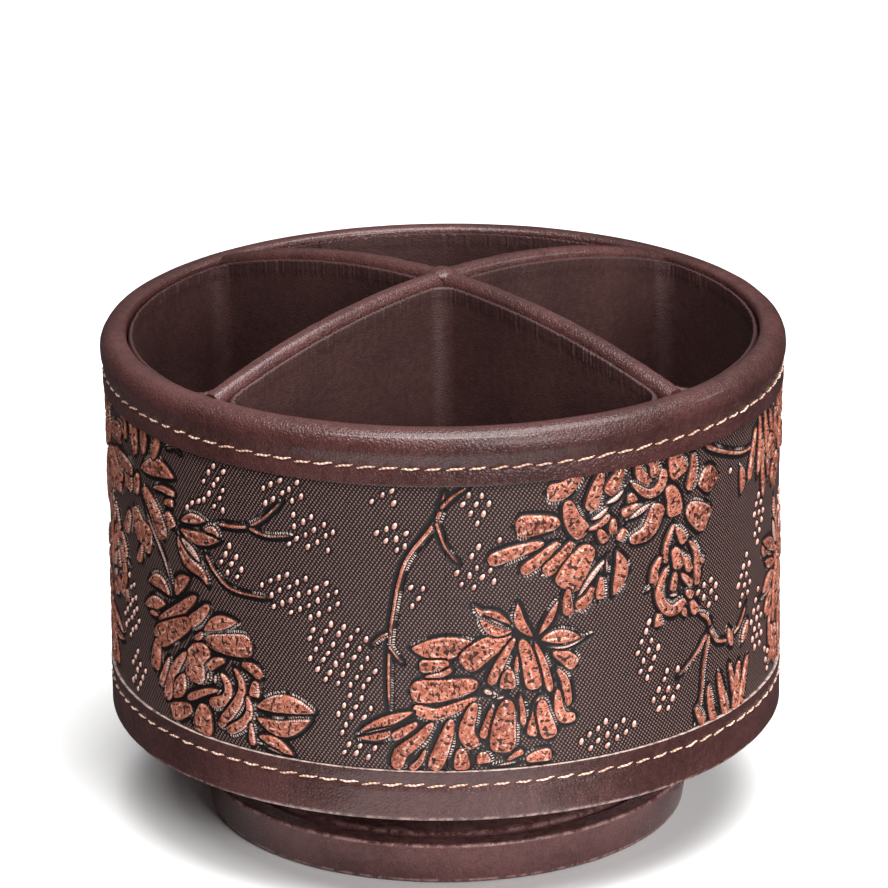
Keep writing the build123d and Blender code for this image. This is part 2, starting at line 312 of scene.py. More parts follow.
def makeBeadPaint(name, look):
    paint = Paint(name)
    spot = paint.place()
    chance, along, up = paint.apart(paint.carried("lie", 1))
    toneAndSheen = paint.noise(spot, 1.8, 3.0)
    colour = paint.mix((toneAndSheen * 0.6 + chance * 0.4).rise(0.25, 0.7), look["deep"], look["copper"])
    # painted highlight: pale on top of each bead toward one end
    colour = paint.mix(along.rise(0.45, 0.9) * up.rise(0.0, 0.4) * 0.7, colour, look["pale"])
    # painted shade: dark round the foot of each bead, where it meets the ground
    colour = paint.mix(up.rise(0.16, 0.02), colour, look["foot"])
    return paint.finish(colour=colour, rough=0.3 + toneAndSheen * 0.15, metal=0.1, specular=0.5,
                        normal=paint.bump(toneAndSheen, 0.5, 0.15))


def makeThread(name, look):
    paint = Paint(name)
    along, across, chance = paint.apart(paint.carried("lie", 1))
    ply = ((along / look["twist"] + across) * math.tau).math("SINE")
    fuzz = paint.noise(paint.place(), 6.0, 2.0)
    colour = paint.mix((ply * 0.3 + chance * 0.5 + fuzz * 0.4).rise(0.1, 0.9), look["dark"], look["light"])
    return paint.finish(colour=colour, rough=0.6, sheen=0.3, normal=paint.bump(ply + fuzz * 0.6, 0.6, 0.12))


def makeFelt(name, look):
    paint = Paint(name)
    spot = paint.place()
    fibres = paint.noise(spot, 2.2, 6.0, 0.75)
    clumps = paint.noise(spot, 0.12, 3.0)
    colour = paint.mix((fibres * 0.7 + clumps * 0.3).rise(0.3, 0.7), look["dark"], look["light"])
    return paint.finish(colour=colour, rough=0.95, sheen=0.4, sheenRough=0.5,
                        normal=paint.bump(fibres, 0.8, 0.25))


def makeBoard(name, look):
    paint = Paint(name)
    spot = paint.place()
    fibres = paint.noise(paint.stretch(spot, (1, 1, 3)), 1.4, 5.0)
    flecks = paint.cells(spot, 0.9)
    colour = paint.mix(fibres.rise(0.3, 0.7), look["dark"], look["light"])
    colour = paint.mix(flecks.rise(0.28, 0.1) * 0.4, colour, look["fleck"])
    return paint.finish(colour=colour, rough=0.85, normal=paint.bump(fibres, 0.5, 0.1))


def makeMoulded(name, look):
    paint = Paint(name)
    spot = paint.place()
    spark = paint.noise(spot, 3.0, 4.0, 0.7)
    scuff = paint.noise(spot, 0.15, 4.0)
    colour = paint.mix(scuff.rise(0.35, 0.7), look["dark"], look["light"])
    rough = look["rough"] + scuff * 0.15
    return paint.finish(colour=colour, rough=rough, normal=paint.bump(spark, 0.35, 0.05))


def makeSteel(name, look):
    paint = Paint(name)
    spot = paint.place()
    x, y, z = paint.apart(spot)
    lines = paint.noise(paint.together(x * 0.4, y * 0.4, z * 9.0), 1.2, 4.0)
    stain = paint.noise(spot, 0.3, 3.0)
    colour = paint.mix(stain.rise(0.35, 0.65), look["dark"], look["light"])
    rough = look["rough"] + lines * look["brushed"]
    return paint.finish(colour=colour, rough=rough, metal=1.0, normal=paint.bump(lines, 0.15, 0.02))


rim = extent("rim_band")
lower = extent("lower_band")
baseBox = extent("base_cover")

# The pale fold colour in these looks is a painted highlight, laid along the folds of the band and base.
leatherLook = {"dark": (0.036, 0.0120, 0.0108), "light": (0.076, 0.0268, 0.0250),
               "crease": (0.013, 0.005, 0.005), "foldHighlightColour": (0.36, 0.21, 0.19), "grainPerMm": 1.6, "rough": 0.33,
               "coat": 0.22, "coatRough": 0.15, "specular": 0.34, "bump": 0.95}
bandLook = dict(leatherLook, edge=(0.55, 0.43, 0.38), edgeFrom=lower["high"] - 0.10,
                edgeTo=lower["high"] - 0.02, foldHighlightLines=[(lower["low"] + 0.7, 0.8)])
# The base is the same leather painted lighter, standing in for the front light that falls on it.
litBaseLook = dict(leatherLook, dark=(0.062, 0.0225, 0.0215), light=(0.132, 0.052, 0.051),
                foldHighlightLines=[(baseBox["low"] + 0.75, 0.5), (baseBox["high"] - 0.4, 0.6)])
liningLook = dict(leatherLook, dark=(0.030, 0.0115, 0.0105), light=(0.052, 0.022, 0.020), grainPerMm=2.2,
                  rough=0.52, coat=0.02, bump=0.5)
# The near-black colour paints shade in the hollows and along shape edges, the pale one paints shine, and the
# near-white tick colour is partly a painted highlight on the hatching.
embossedLook = {"gap": (0.008, 0.0045, 0.0048), "thread": (0.205, 0.113, 0.099),
                "outline": (0.0050, 0.0036, 0.0045), "tick": (0.78, 0.62, 0.56),
                "copper": (0.54, 0.185, 0.120), "deep": (0.24, 0.066, 0.040), "pale": (0.86, 0.52, 0.42),
                "speck": (0.012, 0.005, 0.005),
                "threadsRound": 500, "threadPitch": 1.18, "lean": 0.22, "toothPitch": 0.62, "metal": 0.30,
                "specular": 0.30}
# The pale bead colour is a painted highlight, and the foot colour is painted shade at each bead's foot.
beadLook = {"copper": (0.58, 0.29, 0.23), "deep": (0.33, 0.13, 0.10), "pale": (0.92, 0.80, 0.75),
            "foot": (0.05, 0.02, 0.016)}
threadLook = {"dark": (0.40, 0.20, 0.13), "light": (0.86, 0.60, 0.46), "twist": 1.0}
feltLook = {"dark": (0.020, 0.013, 0.012), "light": (0.060, 0.042, 0.038)}
boardLook = {"dark": (0.24, 0.15, 0.085), "light": (0.43, 0.30, 0.19), "fleck": (0.14, 0.08, 0.045)}
plasticLook = {"dark": (0.012, 0.012, 0.013), "light": (0.028, 0.028, 0.030), "rough": 0.38}
nylonLook = {"dark": (0.52, 0.50, 0.44), "light": (0.70, 0.68, 0.61), "rough": 0.42}
zincLook = {"dark": (0.42, 0.43, 0.44), "light": (0.62, 0.63, 0.64), "rough": 0.24, "brushed": 0.2}
ballLook = {"dark": (0.62, 0.63, 0.65), "light": (0.78, 0.79, 0.81), "rough": 0.06, "brushed": 0.05}

leather = makeLeather("coverLeather", leatherLook)
bandLeather = makeLeather("lowerBandLeather", bandLook)
litBaseLeather = makeLeather("litBaseLeather", litBaseLook)
liningLeather = makeLeather("liningLeather", liningLook)
embossed = makeEmbossed("embossedLeather", embossedLook)
beadPaint = makeBeadPaint("beadRelief", beadLook)
thread = makeThread("waxedThread", threadLook)
felt = makeFelt("pressedFelt", feltLook)
board = makeBoard("fibreboard", boardLook)
blackPlastic = makeMoulded("blackPlastic", plasticLook)
nylon = makeMoulded("naturalNylon", nylonLook)
zinc = makeSteel("zincPlate", zincLook)
ballSteel = makeSteel("ballSteel", ballLook)
print("materials made")


# ---- CAD nodes whose shape is already right ----
keptNodes = {
    "base_core": board, "cup_floor": board, "wall_core": board,
    "divider_board_x": board, "divider_board_y": board,
    "swivel_lower_race": blackPlastic, "swivel_upper_race": blackPlastic, "ball_cage": nylon,
    "bearing_balls": ballSteel, "lower_race_screws": zinc, "upper_race_screws": zinc,
    "pivot_rivet": zinc, "pivot_washer": zinc,
}
for nodeName, paintOfNode in keptNodes.items():
    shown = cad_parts[nodeName]
    if not shown.material_slots:
        shown.data.materials.append(paintOfNode)
    for materialSlot in shown.material_slots:
        materialSlot.material = paintOfNode
print("CAD nodes painted")


# ---- rim band ----
band = {"steps": 900, "wave": 0.12, "pucker": 0.20, "channel": 0.17, "swell": 0.05, "lapStep": 0.30,
        "lapFade": 0.22, "overPanel": 6.0, "rimSwell": 0.49, "lowerInside": 66.1}
stitchRows = {"count": 100, "length": 4.5, "thick": 0.50, "proud": 0.16, "tilt": 6.0}
panelBox = extent("embossed_panel")
rimLegRadius = rim["out"] - band["rimSwell"]    # the straight parts of the bands, where the stitches lie
lowerLegRadius = lower["out"]
panelLow = panelBox["low"] + band["overPanel"]  # the part of the panel that shows between the bands
panelHigh = panelBox["high"] - band["overPanel"]


def middle(node):
    box = extent(node)
    return (box["low"] + box["high"]) / 2


rimStitchZ = middle("rim_stitching")
lowerStitchZ = middle("lower_stitching")


def bandShift(legRadius, stitchZ):  # waves, stitch channel, puckers and a lapped end at the back
    def shift(angle, radius, height):
        around = Vector((math.cos(angle), math.sin(angle), 0))
        amount = band["wave"] * noise.noise(around * 9 + Vector((0, 0, height * 0.05)))
        outer = smooth(legRadius - 0.9, legRadius - 0.2, radius)
        near = math.exp(-((height - stitchZ) / 0.9) ** 2)
        pulled = 0.5 + 0.5 * math.cos(angle * stitchRows["count"])
        amount -= outer * near * (band["channel"] + band["pucker"] * pulled)
        wide = math.exp(-((height - stitchZ) / 2.6) ** 2)
        amount += outer * wide * band["swell"] * math.cos(angle * stitchRows["count"])
        past = angle - math.pi
        if past > 0:
            amount += outer * band["lapStep"] * (1 - smooth(0, band["lapFade"], past))
        return amount
    return shift


def makeRimBand():
    foot, top, out, leg = panelHigh, rim["high"], rim["out"], rimLegRadius
    outline = [(leg - 1.25, foot + 0.10), (leg - 0.5, foot)]
    outline += arcPoints((leg - 0.38, foot + 0.38), 0.38, -90, 0, 4)
    outline += [(leg, foot + 0.38 + n * 0.62) for n in range(1, 9)]
    outline += [(leg + 0.16, top - 6.2), (out - 0.06, top - 5.2), (out, top - 4.3), (out - 0.10, top - 3.3)]
    outline += [(out - 0.42, top - 2.3), (out - 0.95, top - 1.4), (out - 1.75, top - 0.62)]
    outline += [(out - 2.6, top - 0.2), (out - 3.5, top - 0.02), (out - 4.4, top), (leg - 4.6, top - 0.08)]
    outline += arcPoints((leg - 4.6, top - 1.28), 1.2, 90, 180, 5)
    outline += [(leg - 5.8, top - n * 2.6) for n in range(1, 5)]
    outline += [(leg - 5.7, rim["low"]), (leg - 5.1, rim["low"]), (leg - 5.0, top - 2.1)]
    outline += [(leg - 4.2, top - 1.25), (leg - 2.6, top - 1.22), (leg - 1.85, top - 2.0)]
    outline += [(leg - 1.8, top - 7.0), (leg - 1.3, top - 7.4)]
    bm = turnProfile(outline, band["steps"])
    moveRadially(bm, bandShift(leg, rimStitchZ))
    finishPiece(bm, "rimBand", leather, "cup", ["rim_band"], 60)


def makeLowerBand():
    foot, top, leg, inner = lower["low"], lower["high"], lowerLegRadius, band["lowerInside"]
    outline = [(inner, foot + 0.95), (inner, foot + 0.05), (leg - 6, foot)]
    outline += arcPoints((leg - 1.6, foot + 1.6), 1.6, -90, 0, 7)
    outline += [(leg, foot + 1.6 + n * 0.63) for n in range(1, 15)]
    outline += [(leg, top - 0.35)] + arcPoints((leg - 0.2, top - 0.2), 0.2, 0, 90, 3)
    outline += [(leg - 0.95, top), (leg - 1.15, top - 0.3), (leg - 1.18, foot + 6.6)]
    outline += [(leg - 1.62, foot + 6.3), (leg - 1.62, foot + 1.05)]
    bm = turnProfile(outline, band["steps"])
    moveRadially(bm, bandShift(leg, lowerStitchZ))
    finishPiece(bm, "lowerBand", bandLeather, "cup", ["lower_band"], 60)


def makeStitchRow(name, node, radius, height):
    bm = bmesh.new()
    dice = random.Random(len(name))
    bmesh.ops.create_uvsphere(bm, u_segments=8, v_segments=9, radius=0.5)
    repeatShape(bm, stitchRows["count"])
    lie = bm.verts.layers.float_vector.new("lie")
    for n, made in enumerate(inGroups(bm, stitchRows["count"])):
        chance = dice.random()
        length = stitchRows["length"] * dice.uniform(0.88, 1.08)
        sag = dice.uniform(-0.25, 0.25)
        for vert in made:           # a grain of thread that lies along Y, its ends sunk into their holes
            x, y, z = vert.co
            around = math.atan2(y, x)
            vert[lie] = (z * length, around / math.tau, chance)
            thick = stitchRows["thick"] * (1 + 0.16 * math.cos(2 * around - z * 11))
            wavy = 0.10 * math.sin(z * 9 + chance * 6)
            vert.co = (x * thick - 1.1 * z * z, z * length, y * thick + sag * (0.25 - z * z) + wavy)
        tilt = math.radians(stitchRows["tilt"] + dice.uniform(-4, 4))
        angle = frontAngle + math.tau * (n + 0.5) / stitchRows["count"]
        spot = (radius + stitchRows["proud"] - 0.25, 0, height + dice.uniform(-0.1, 0.1))
        place = Matrix.Rotation(angle, 4, "Z") @ Matrix.Translation(spot) @ Matrix.Rotation(tilt, 4, "X")
        bmesh.ops.transform(bm, matrix=place, verts=made)
    finishPiece(bm, name, thread, "cup", [node], 80)


makeRimBand()
makeLowerBand()
makeStitchRow("rimStitches", "rim_stitching", rimLegRadius, rimStitchZ)
makeStitchRow("lowerStitches", "lower_stitching", lowerLegRadius, lowerStitchZ)
print("bands and stitches made")


# ---- embossed panel ----
# The halo reach and the bead share set the sunk hollow round shapes and beads, which the shader darkens as
# painted shade.
panel = {"groundRadius": panelBox["out"] - 0.30, "cell": 0.27, "sectors": 6, "relief": 0.60, "sunk": 0.22,
         "groove": 0.52, "edge": 0.40, "haloNear": 0.60, "haloFar": 1.25, "beadHollowShadow": 0.55, "thick": 0.7,
         "tuck": 0.4, "seed": 11}
perDegree = math.radians(1) * panel["groundRadius"]     # millimetres along the panel
halfTurn = 180 * perDegree


def ease(low, high, values):
    t = np.clip((values - low) / (high - low), 0, 1)
    return t * t * (3 - 2 * t)


class Sheet:                        # the panel unrolled into cells, along from the front and up
    def __init__(self):
        length = 2 * halfTurn
        self.cellsRound = round(length / panel["cell"] / panel["sectors"]) * panel["sectors"]
        self.cellsUp = round((panelHigh - panelLow) / panel["cell"])
        self.step = length / self.cellsRound
        self.rise = (panelHigh - panelLow) / self.cellsUp
        shape = (self.cellsRound, self.cellsUp + 1)
        self.inward = np.full(shape, -9.0)      # how far inside the edge of a raised shape, negative outside
        self.height = np.zeros(shape)
        self.along = np.zeros(shape)
        self.side = np.zeros(shape)
        self.pale = np.zeros(shape)
        self.bead = np.full(shape, 9.0)         # how far outside the nearest bead
        self.dice = random.Random(panel["seed"])

    def window(self, low, high, margin):        # the cells round a stretch of the panel
        first = math.floor((low[0] - margin) / self.step)
        last = math.ceil((high[0] + margin) / self.step)
        bottom = max(0, math.floor((low[1] - margin - panelLow) / self.rise))
        top = min(self.cellsUp, math.ceil((high[1] + margin - panelLow) / self.rise))
        if top <= bottom:
            return None
        columns, rows = np.arange(first, last + 1), np.arange(bottom, top + 1)
        s = (columns * self.step)[:, None]
        z = (panelLow + rows * self.rise)[None, :]
        return np.ix_(columns % self.cellsRound, rows), s, z

    def press(self, spine, halfWidth, kind, width):
        points = np.array(spine, float)
        found = self.window(points.min(0), points.max(0), width / 2 + 2.4)
        if found is None:
            return
        cells, s, z = found
        nearest = np.full((s.shape[0], z.shape[1]), 1e9)
        along, side = np.zeros_like(nearest), np.zeros_like(nearest)
        pace = 0.0
        for (ax, az), (bx, bz) in zip(points, points[1:]):
            dx, dz = bx - ax, bz - az
            size = math.hypot(dx, dz)
            t = np.clip(((s - ax) * dx + (z - az) * dz) / (size * size), 0, 1)
            away = np.hypot(s - ax - dx * t, z - az - dz * t)
            left = np.sign(dx * (z - az) - dz * (s - ax))
            closer = away < nearest
            nearest = np.where(closer, away, nearest)
            along = np.where(closer, pace + t * size, along)
            side = np.where(closer, away * left, side)
            pace += size
        share = along / pace
        half = halfWidth(share)
        inward = half - nearest
        inside = inward > 0
        inward = np.where(inside, np.minimum(inward, np.minimum(along, pace - along) + 0.05), inward)
        tooth = 0.85 + 0.25 * self.dice.random()
        chance = self.dice.random()
        comb = 0.5 + 0.5 * np.cos(math.tau * (along / tooth + chance))
        height = panel["relief"] - 0.14 + 0.14 * ease(0.2, 1.8, inward)
        height = height + 0.04 * np.sin(s * 1.9 + chance * 9) * np.sin(z * 2.3 + chance * 5)
        if kind in "sw":
            height = height - 0.12
        if kind == "l":             # a vein down the middle
            height = height - 0.34 * (1 - ease(0.0, 0.4, np.abs(side))) * ease(0.6, 1.1, half) * (share < 0.9)
        if kind == "r":             # short ribs along both edges
            height = height - 0.26 * comb * (1 - ease(0.5, 1.3, inward))
        if kind == "p":             # a lighter comb along one edge
            height = height - 0.20 * comb * (1 - ease(0.4, 0.9, inward)) * (side > 0) * (width > 2.2)
        height = -panel["sunk"] + (height + panel["sunk"]) * ease(0.0, panel["edge"], inward)
        old = {name: getattr(self, name)[cells] for name in ("inward", "height", "along", "side", "pale")}
        over = (inward > -panel["groove"]) | ((old["inward"] < 0) & (inward > old["inward"]))
        fresh = {"inward": inward, "height": height, "along": along + 40 * chance, "side": side,
                 "pale": np.full_like(along, float(kind == "w"))}
        for name, values in fresh.items():
            getattr(self, name)[cells] = np.where(over, values, old[name])

    def markBead(self, s, z):
        cells, columns, rows = self.window((s, z), (s, z), 2.0)
        self.bead[cells] = np.minimum(self.bead[cells], np.hypot(columns - s, (rows - z) * 0.85) - 0.75)

    def clearOf(self, s, z):        # distance from this spot to the nearest raised shape
        column = round(s / self.step) % self.cellsRound
        row = min(self.cellsUp, max(0, round((z - panelLow) / self.rise)))
        return -self.inward[column, row]

    def settle(self):               # ground level and the hollow round every shape and bead, which the shader darkens: partly the ground's own smooth dark, partly painted shade
        away = np.maximum(0, -self.inward)
        self.hollow = 1 - ease(panel["haloNear"], panel["haloFar"], away)
        self.hollow = np.maximum(self.hollow, panel["beadHollowShadow"] * (1 - ease(0.0, 0.6, self.bead)))
        ground = -panel["sunk"] * self.hollow
        self.height = np.where(self.inward > 0, self.height, ground)
        self.hollow = np.where(self.inward > 0, 3 * self.pale, self.hollow)


def makePanelSector(sheet, sector):
    wide = sheet.cellsRound // panel["sectors"]
    tall = sheet.cellsUp
    bm = bmesh.new()
    bmesh.ops.create_grid(bm, x_segments=wide, y_segments=tall, size=1)
    mesh = bpy.data.meshes.new("sector")
    bm.to_mesh(mesh)
    flat = np.zeros(len(mesh.vertices) * 3)
    mesh.vertices.foreach_get("co", flat)
    flat = flat.reshape(-1, 3)
    column = np.rint((flat[:, 0] + 1) / 2 * wide).astype(int) + sector * wide
    row = np.rint((flat[:, 1] + 1) / 2 * tall).astype(int)
    cells = (column % sheet.cellsRound, row)
    angle = frontAngle + column * math.tau / sheet.cellsRound
    radius = panel["groundRadius"] + sheet.height[cells]
    up = panelLow + row * sheet.rise
    up = up + np.where(row == 0, -panel["tuck"], 0) + np.where(row == tall, panel["tuck"], 0)
    wrapped = np.stack([radius * np.cos(angle), radius * np.sin(angle), up], 1)
    mesh.vertices.foreach_set("co", wrapped.ravel())
    lie = mesh.attributes.new("lie", "FLOAT_VECTOR", "POINT")
    carried = np.stack([sheet.along[cells], sheet.side[cells], sheet.inward[cells]], 1)
    lie.data.foreach_set("vector", carried.ravel())
    hollow = mesh.attributes.new("hollow", "FLOAT", "POINT")
    hollow.data.foreach_set("value", sheet.hollow[cells])
    bm.clear()
    bm.from_mesh(mesh)
    bpy.data.meshes.remove(mesh)
    rimEdges = [edge for edge in bm.edges if edge.is_boundary]      # turned back and closed behind
    made = bmesh.ops.extrude_edge_only(bm, edges=rimEdges)["geom"]
    for vert in made:
        if isinstance(vert, bmesh.types.BMVert):
            inner = (panel["groundRadius"] - panel["thick"]) / vert.co.xy.length
            vert.co.x *= inner
            vert.co.y *= inner
    behind = [edge for edge in bm.edges if edge.is_boundary]
    ends = [edge for edge in behind if abs(edge.verts[0].co.z - edge.verts[1].co.z) < 0.01]
    bmesh.ops.bridge_loops(bm, edges=ends)
    bmesh.ops.holes_fill(bm, edges=[edge for edge in bm.edges if edge.is_boundary], sides=0)
    bmesh.ops.recalc_face_normals(bm, faces=bm.faces)
    name = "embossedPanel" + str(sector + 1)
    finishPiece(bm, name, embossed, "cup", ["embossed_panel"], 180)


def curveThrough(points, steps=8):  # Catmull-Rom curve through given points
    ends = [points[0]] + points + [points[-1]]
    made = []
    for n in range(1, len(ends) - 2):
        p0, p1, p2, p3 = (Vector(p) for p in ends[n - 1:n + 3])
        for k in range(steps):
            t = k / steps
            made.append(tuple(0.5 * ((2 * p1) + (p2 - p0) * t + (2 * p0 - 5 * p1 + 4 * p2 - p3) * t * t
                                     + (3 * p1 - p0 - 3 * p2 + p3) * t * t * t)))
    return made + [tuple(points[-1])]


def petalWidth(width):              # narrow at the heart, full and blunt at the tip
    def half(t):
        blunt = np.sqrt(np.maximum(0, 1 - (2 * t - 1) ** 8))
        return width * 0.53 * blunt * (0.52 + 0.48 * ease(0, 0.8, t) ** 0.5)
    return half


def leafWidth(width):               # pointed at both ends
    return lambda t: width / 2 * np.maximum(0, np.sin(math.pi * t)) ** 0.8


def stemWidth(width):
    return lambda t: width / 2 * (1 - 0.4 * t) * np.minimum(1, np.minimum(12 * t + 0.3, 12 * (1 - t) + 0.2))


# Each raised shape: points of its middle line, in millimetres along the panel from the front and up, its
# width, and its kind: p petal, l leaf, r ribbed petal, w pale flick
chrysanthemum = {"heart": (8, 58), "shapes": [
    ([(-8, 67.6), (-1, 67.5), (6, 69.3)], 4.6, "l"), ([(0.8, 64.2), (-3, 63.5), (-6.2, 63.3)], 3.2, "p"),
    ([(-5, 60.8), (-1, 61.4), (1.3, 62.7)], 1.5, "p"), ([(15, 70), (9, 67.3), (3.7, 63.2)], 5.6, "r"),
    ([(15.7, 69.5), (13, 65), (9.8, 58.5)], 2.6, "p"), ([(16.2, 65.5), (15.8, 61)], 1.3, "p"),
    ([(14.2, 62), (13.8, 57.2)], 3.8, "p"), ([(17, 69), (19, 63.5), (20.3, 56.5)], 4.2, "r"),
    ([(20.2, 68), (22.5, 62), (24, 55.5)], 2.0, "p"), ([(24.5, 65.5), (27.5, 63.5), (30, 61)], 3.6, "p"),
    ([(25.5, 61), (27.5, 57.5), (28, 51.5)], 2.4, "p"),
    ([(25.6, 56), (26, 51), (27.3, 48.8), (30, 48.8)], 2.8, "p"),
    ([(21.5, 68.5), (26, 68.7), (31.3, 67.8)], 2.9, "l"),
    ([(22, 66.8), (27.5, 65.9), (33.7, 68)], 0.9, "w"), ([(20, 69.2), (16.8, 73), (16.3, 78)], 2.2, "l"),
    ([(21, 69.5), (23.5, 73), (26, 77.8)], 1.6, "l"), ([(15.2, 71.2), (11, 71.8), (7.4, 75)], 2.7, "l"),
    ([(15, 72.6), (11.5, 75.1), (8, 76), (6.3, 78)], 1.7, "l"),
    ([(14.5, 72), (11.5, 73.4), (8.5, 75)], 0.7, "w"), ([(7.3, 59), (0, 57.6), (-8.2, 57)], 5.6, "r"),
    ([(7, 55.5), (1, 52.8), (-3, 51.7), (-7.7, 53.2)], 3.0, "r"),
    ([(-7.3, 52.3), (-12, 50.4), (-20.5, 46.5)], 2.2, "l"),
    ([(-11, 47.8), (-15, 46.2), (-20.5, 45.2)], 2.0, "l"),
    ([(-20, 46), (-15.5, 47.5), (-11.5, 48.6)], 0.6, "w"),
    ([(-6.5, 49.6), (-9.5, 47.5), (-12.4, 45.7)], 2.4, "p"),
    ([(-3, 49.7), (-6.5, 45.5), (-10.5, 42), (-11.4, 38)], 3.4, "r"),
    ([(-4.8, 43.2), (-6.3, 40), (-8.5, 38)], 1.8, "p"), ([(1.2, 50.6), (-0.5, 45), (-3.2, 38)], 3.8, "r"),
    ([(6.6, 54.5), (5, 50), (4.6, 46.5), (6.6, 43.4)], 3.8, "r"),
    ([(10.3, 53), (9.2, 49), (8, 45.6)], 2.2, "p"), ([(3.2, 43.4), (3.4, 38)], 3.8, "p"),
    ([(14, 54.7), (13, 48), (12.6, 41.8)], 6.0, "r"), ([(16.8, 55.5), (17.4, 51), (17.5, 48)], 1.6, "p"),
    ([(21.5, 54.8), (21, 50.5), (19.4, 45.2)], 3.4, "r"), ([(21.8, 54), (22.3, 50), (24, 44.2)], 4.0, "r"),
    ([(8, 42.4), (8.4, 39.4)], 3.4, "p"), ([(8.2, 57.4), (10.6, 56.2)], 1.6, "w"),
    ([(11, 55), (13.5, 55.5)], 0.9, "w"), ([(18, 39.6), (21, 40.2), (24.2, 40.4)], 3.2, "p"),
    ([(13.3, 39.4), (15.3, 40.9), (17.6, 41.8)], 1.5, "p"),
    ([(10.3, 38.7), (14, 39.1), (17, 39.5)], 0.8, "w"),
]}
openRose = {"heart": (39, 92), "shapes": [
    ([(31.5, 107), (27, 103.6), (23, 103.4)], 4.4, "r"), ([(26.3, 96), (21, 96), (15.8, 95.8)], 5.2, "r"),
    ([(22.6, 91.6), (15, 89.8), (9.5, 88)], 3.4, "p"), ([(26, 91.4), (21, 87.4), (17, 85)], 3.0, "p"),
    ([(29.3, 91), (26, 87), (22.3, 84.2)], 3.4, "r"), ([(28, 101), (29.4, 96), (32.4, 92)], 4.6, "r"),
    ([(36.8, 107), (35, 102), (33.6, 97.6)], 3.6, "r"), ([(42, 107), (40, 103.5), (38, 100.8)], 3.8, "r"),
    ([(37, 98.6), (40, 99.5), (42.6, 101.6)], 1.5, "w"),
    ([(33.4, 95.4), (36, 96.2), (38.6, 98.2)], 1.5, "w"), ([(33, 93.2), (36, 94), (38.6, 96)], 1.7, "p"),
    ([(39.5, 95), (39.3, 91)], 2.5, "p"), ([(35.6, 93), (37.6, 89.6)], 2.5, "p"),
    ([(42.6, 92), (40.8, 89.2)], 2.4, "p"), ([(43.6, 100), (45, 97.4)], 2.8, "p"),
    ([(46.4, 97), (41.6, 95.3)], 2.4, "r"), ([(45.7, 107), (47, 103.6), (49.5, 101.7)], 2.9, "p"),
    ([(48.6, 107), (50.4, 105.6), (51, 102.4)], 2.9, "p"),
    ([(44.4, 102.4), (49, 98.9), (52.6, 100), (53.4, 104)], 2.7, "r"),
    ([(43.4, 93.8), (47, 95.3), (49.9, 96.7)], 1.8, "w"), ([(43.6, 88.8), (49, 90), (52.2, 96)], 4.6, "r"),
    ([(54.6, 99.4), (56.5, 96), (57, 91.6)], 4.6, "r"),
    ([(62.5, 105.5), (62.7, 101.5), (61.4, 96.6)], 2.8, "p"),
    ([(56, 107), (57.4, 104), (58.6, 101)], 5.4, "r"), ([(60.8, 93), (64, 90.5), (68, 87.6)], 6.4, "r"),
    ([(64.4, 97.2), (68, 97.8), (71.6, 97.6)], 5.4, "l"),
    ([(34, 89.4), (30.5, 85), (27.3, 79.8)], 7.0, "r"), ([(28.2, 80), (28, 77), (28.4, 73.4)], 2.8, "p"),
    ([(38.4, 86.4), (34, 82), (30, 76.8)], 1.7, "w"), ([(34.3, 79.4), (33, 76.8), (30.2, 74.7)], 3.0, "p"),
    ([(36.4, 81.6), (36, 76)], 2.3, "p"), ([(40.4, 87.2), (41.7, 82), (39.4, 76.2)], 3.0, "l"),
    ([(37.8, 86), (37.9, 81.4)], 0.8, "w"),
]}
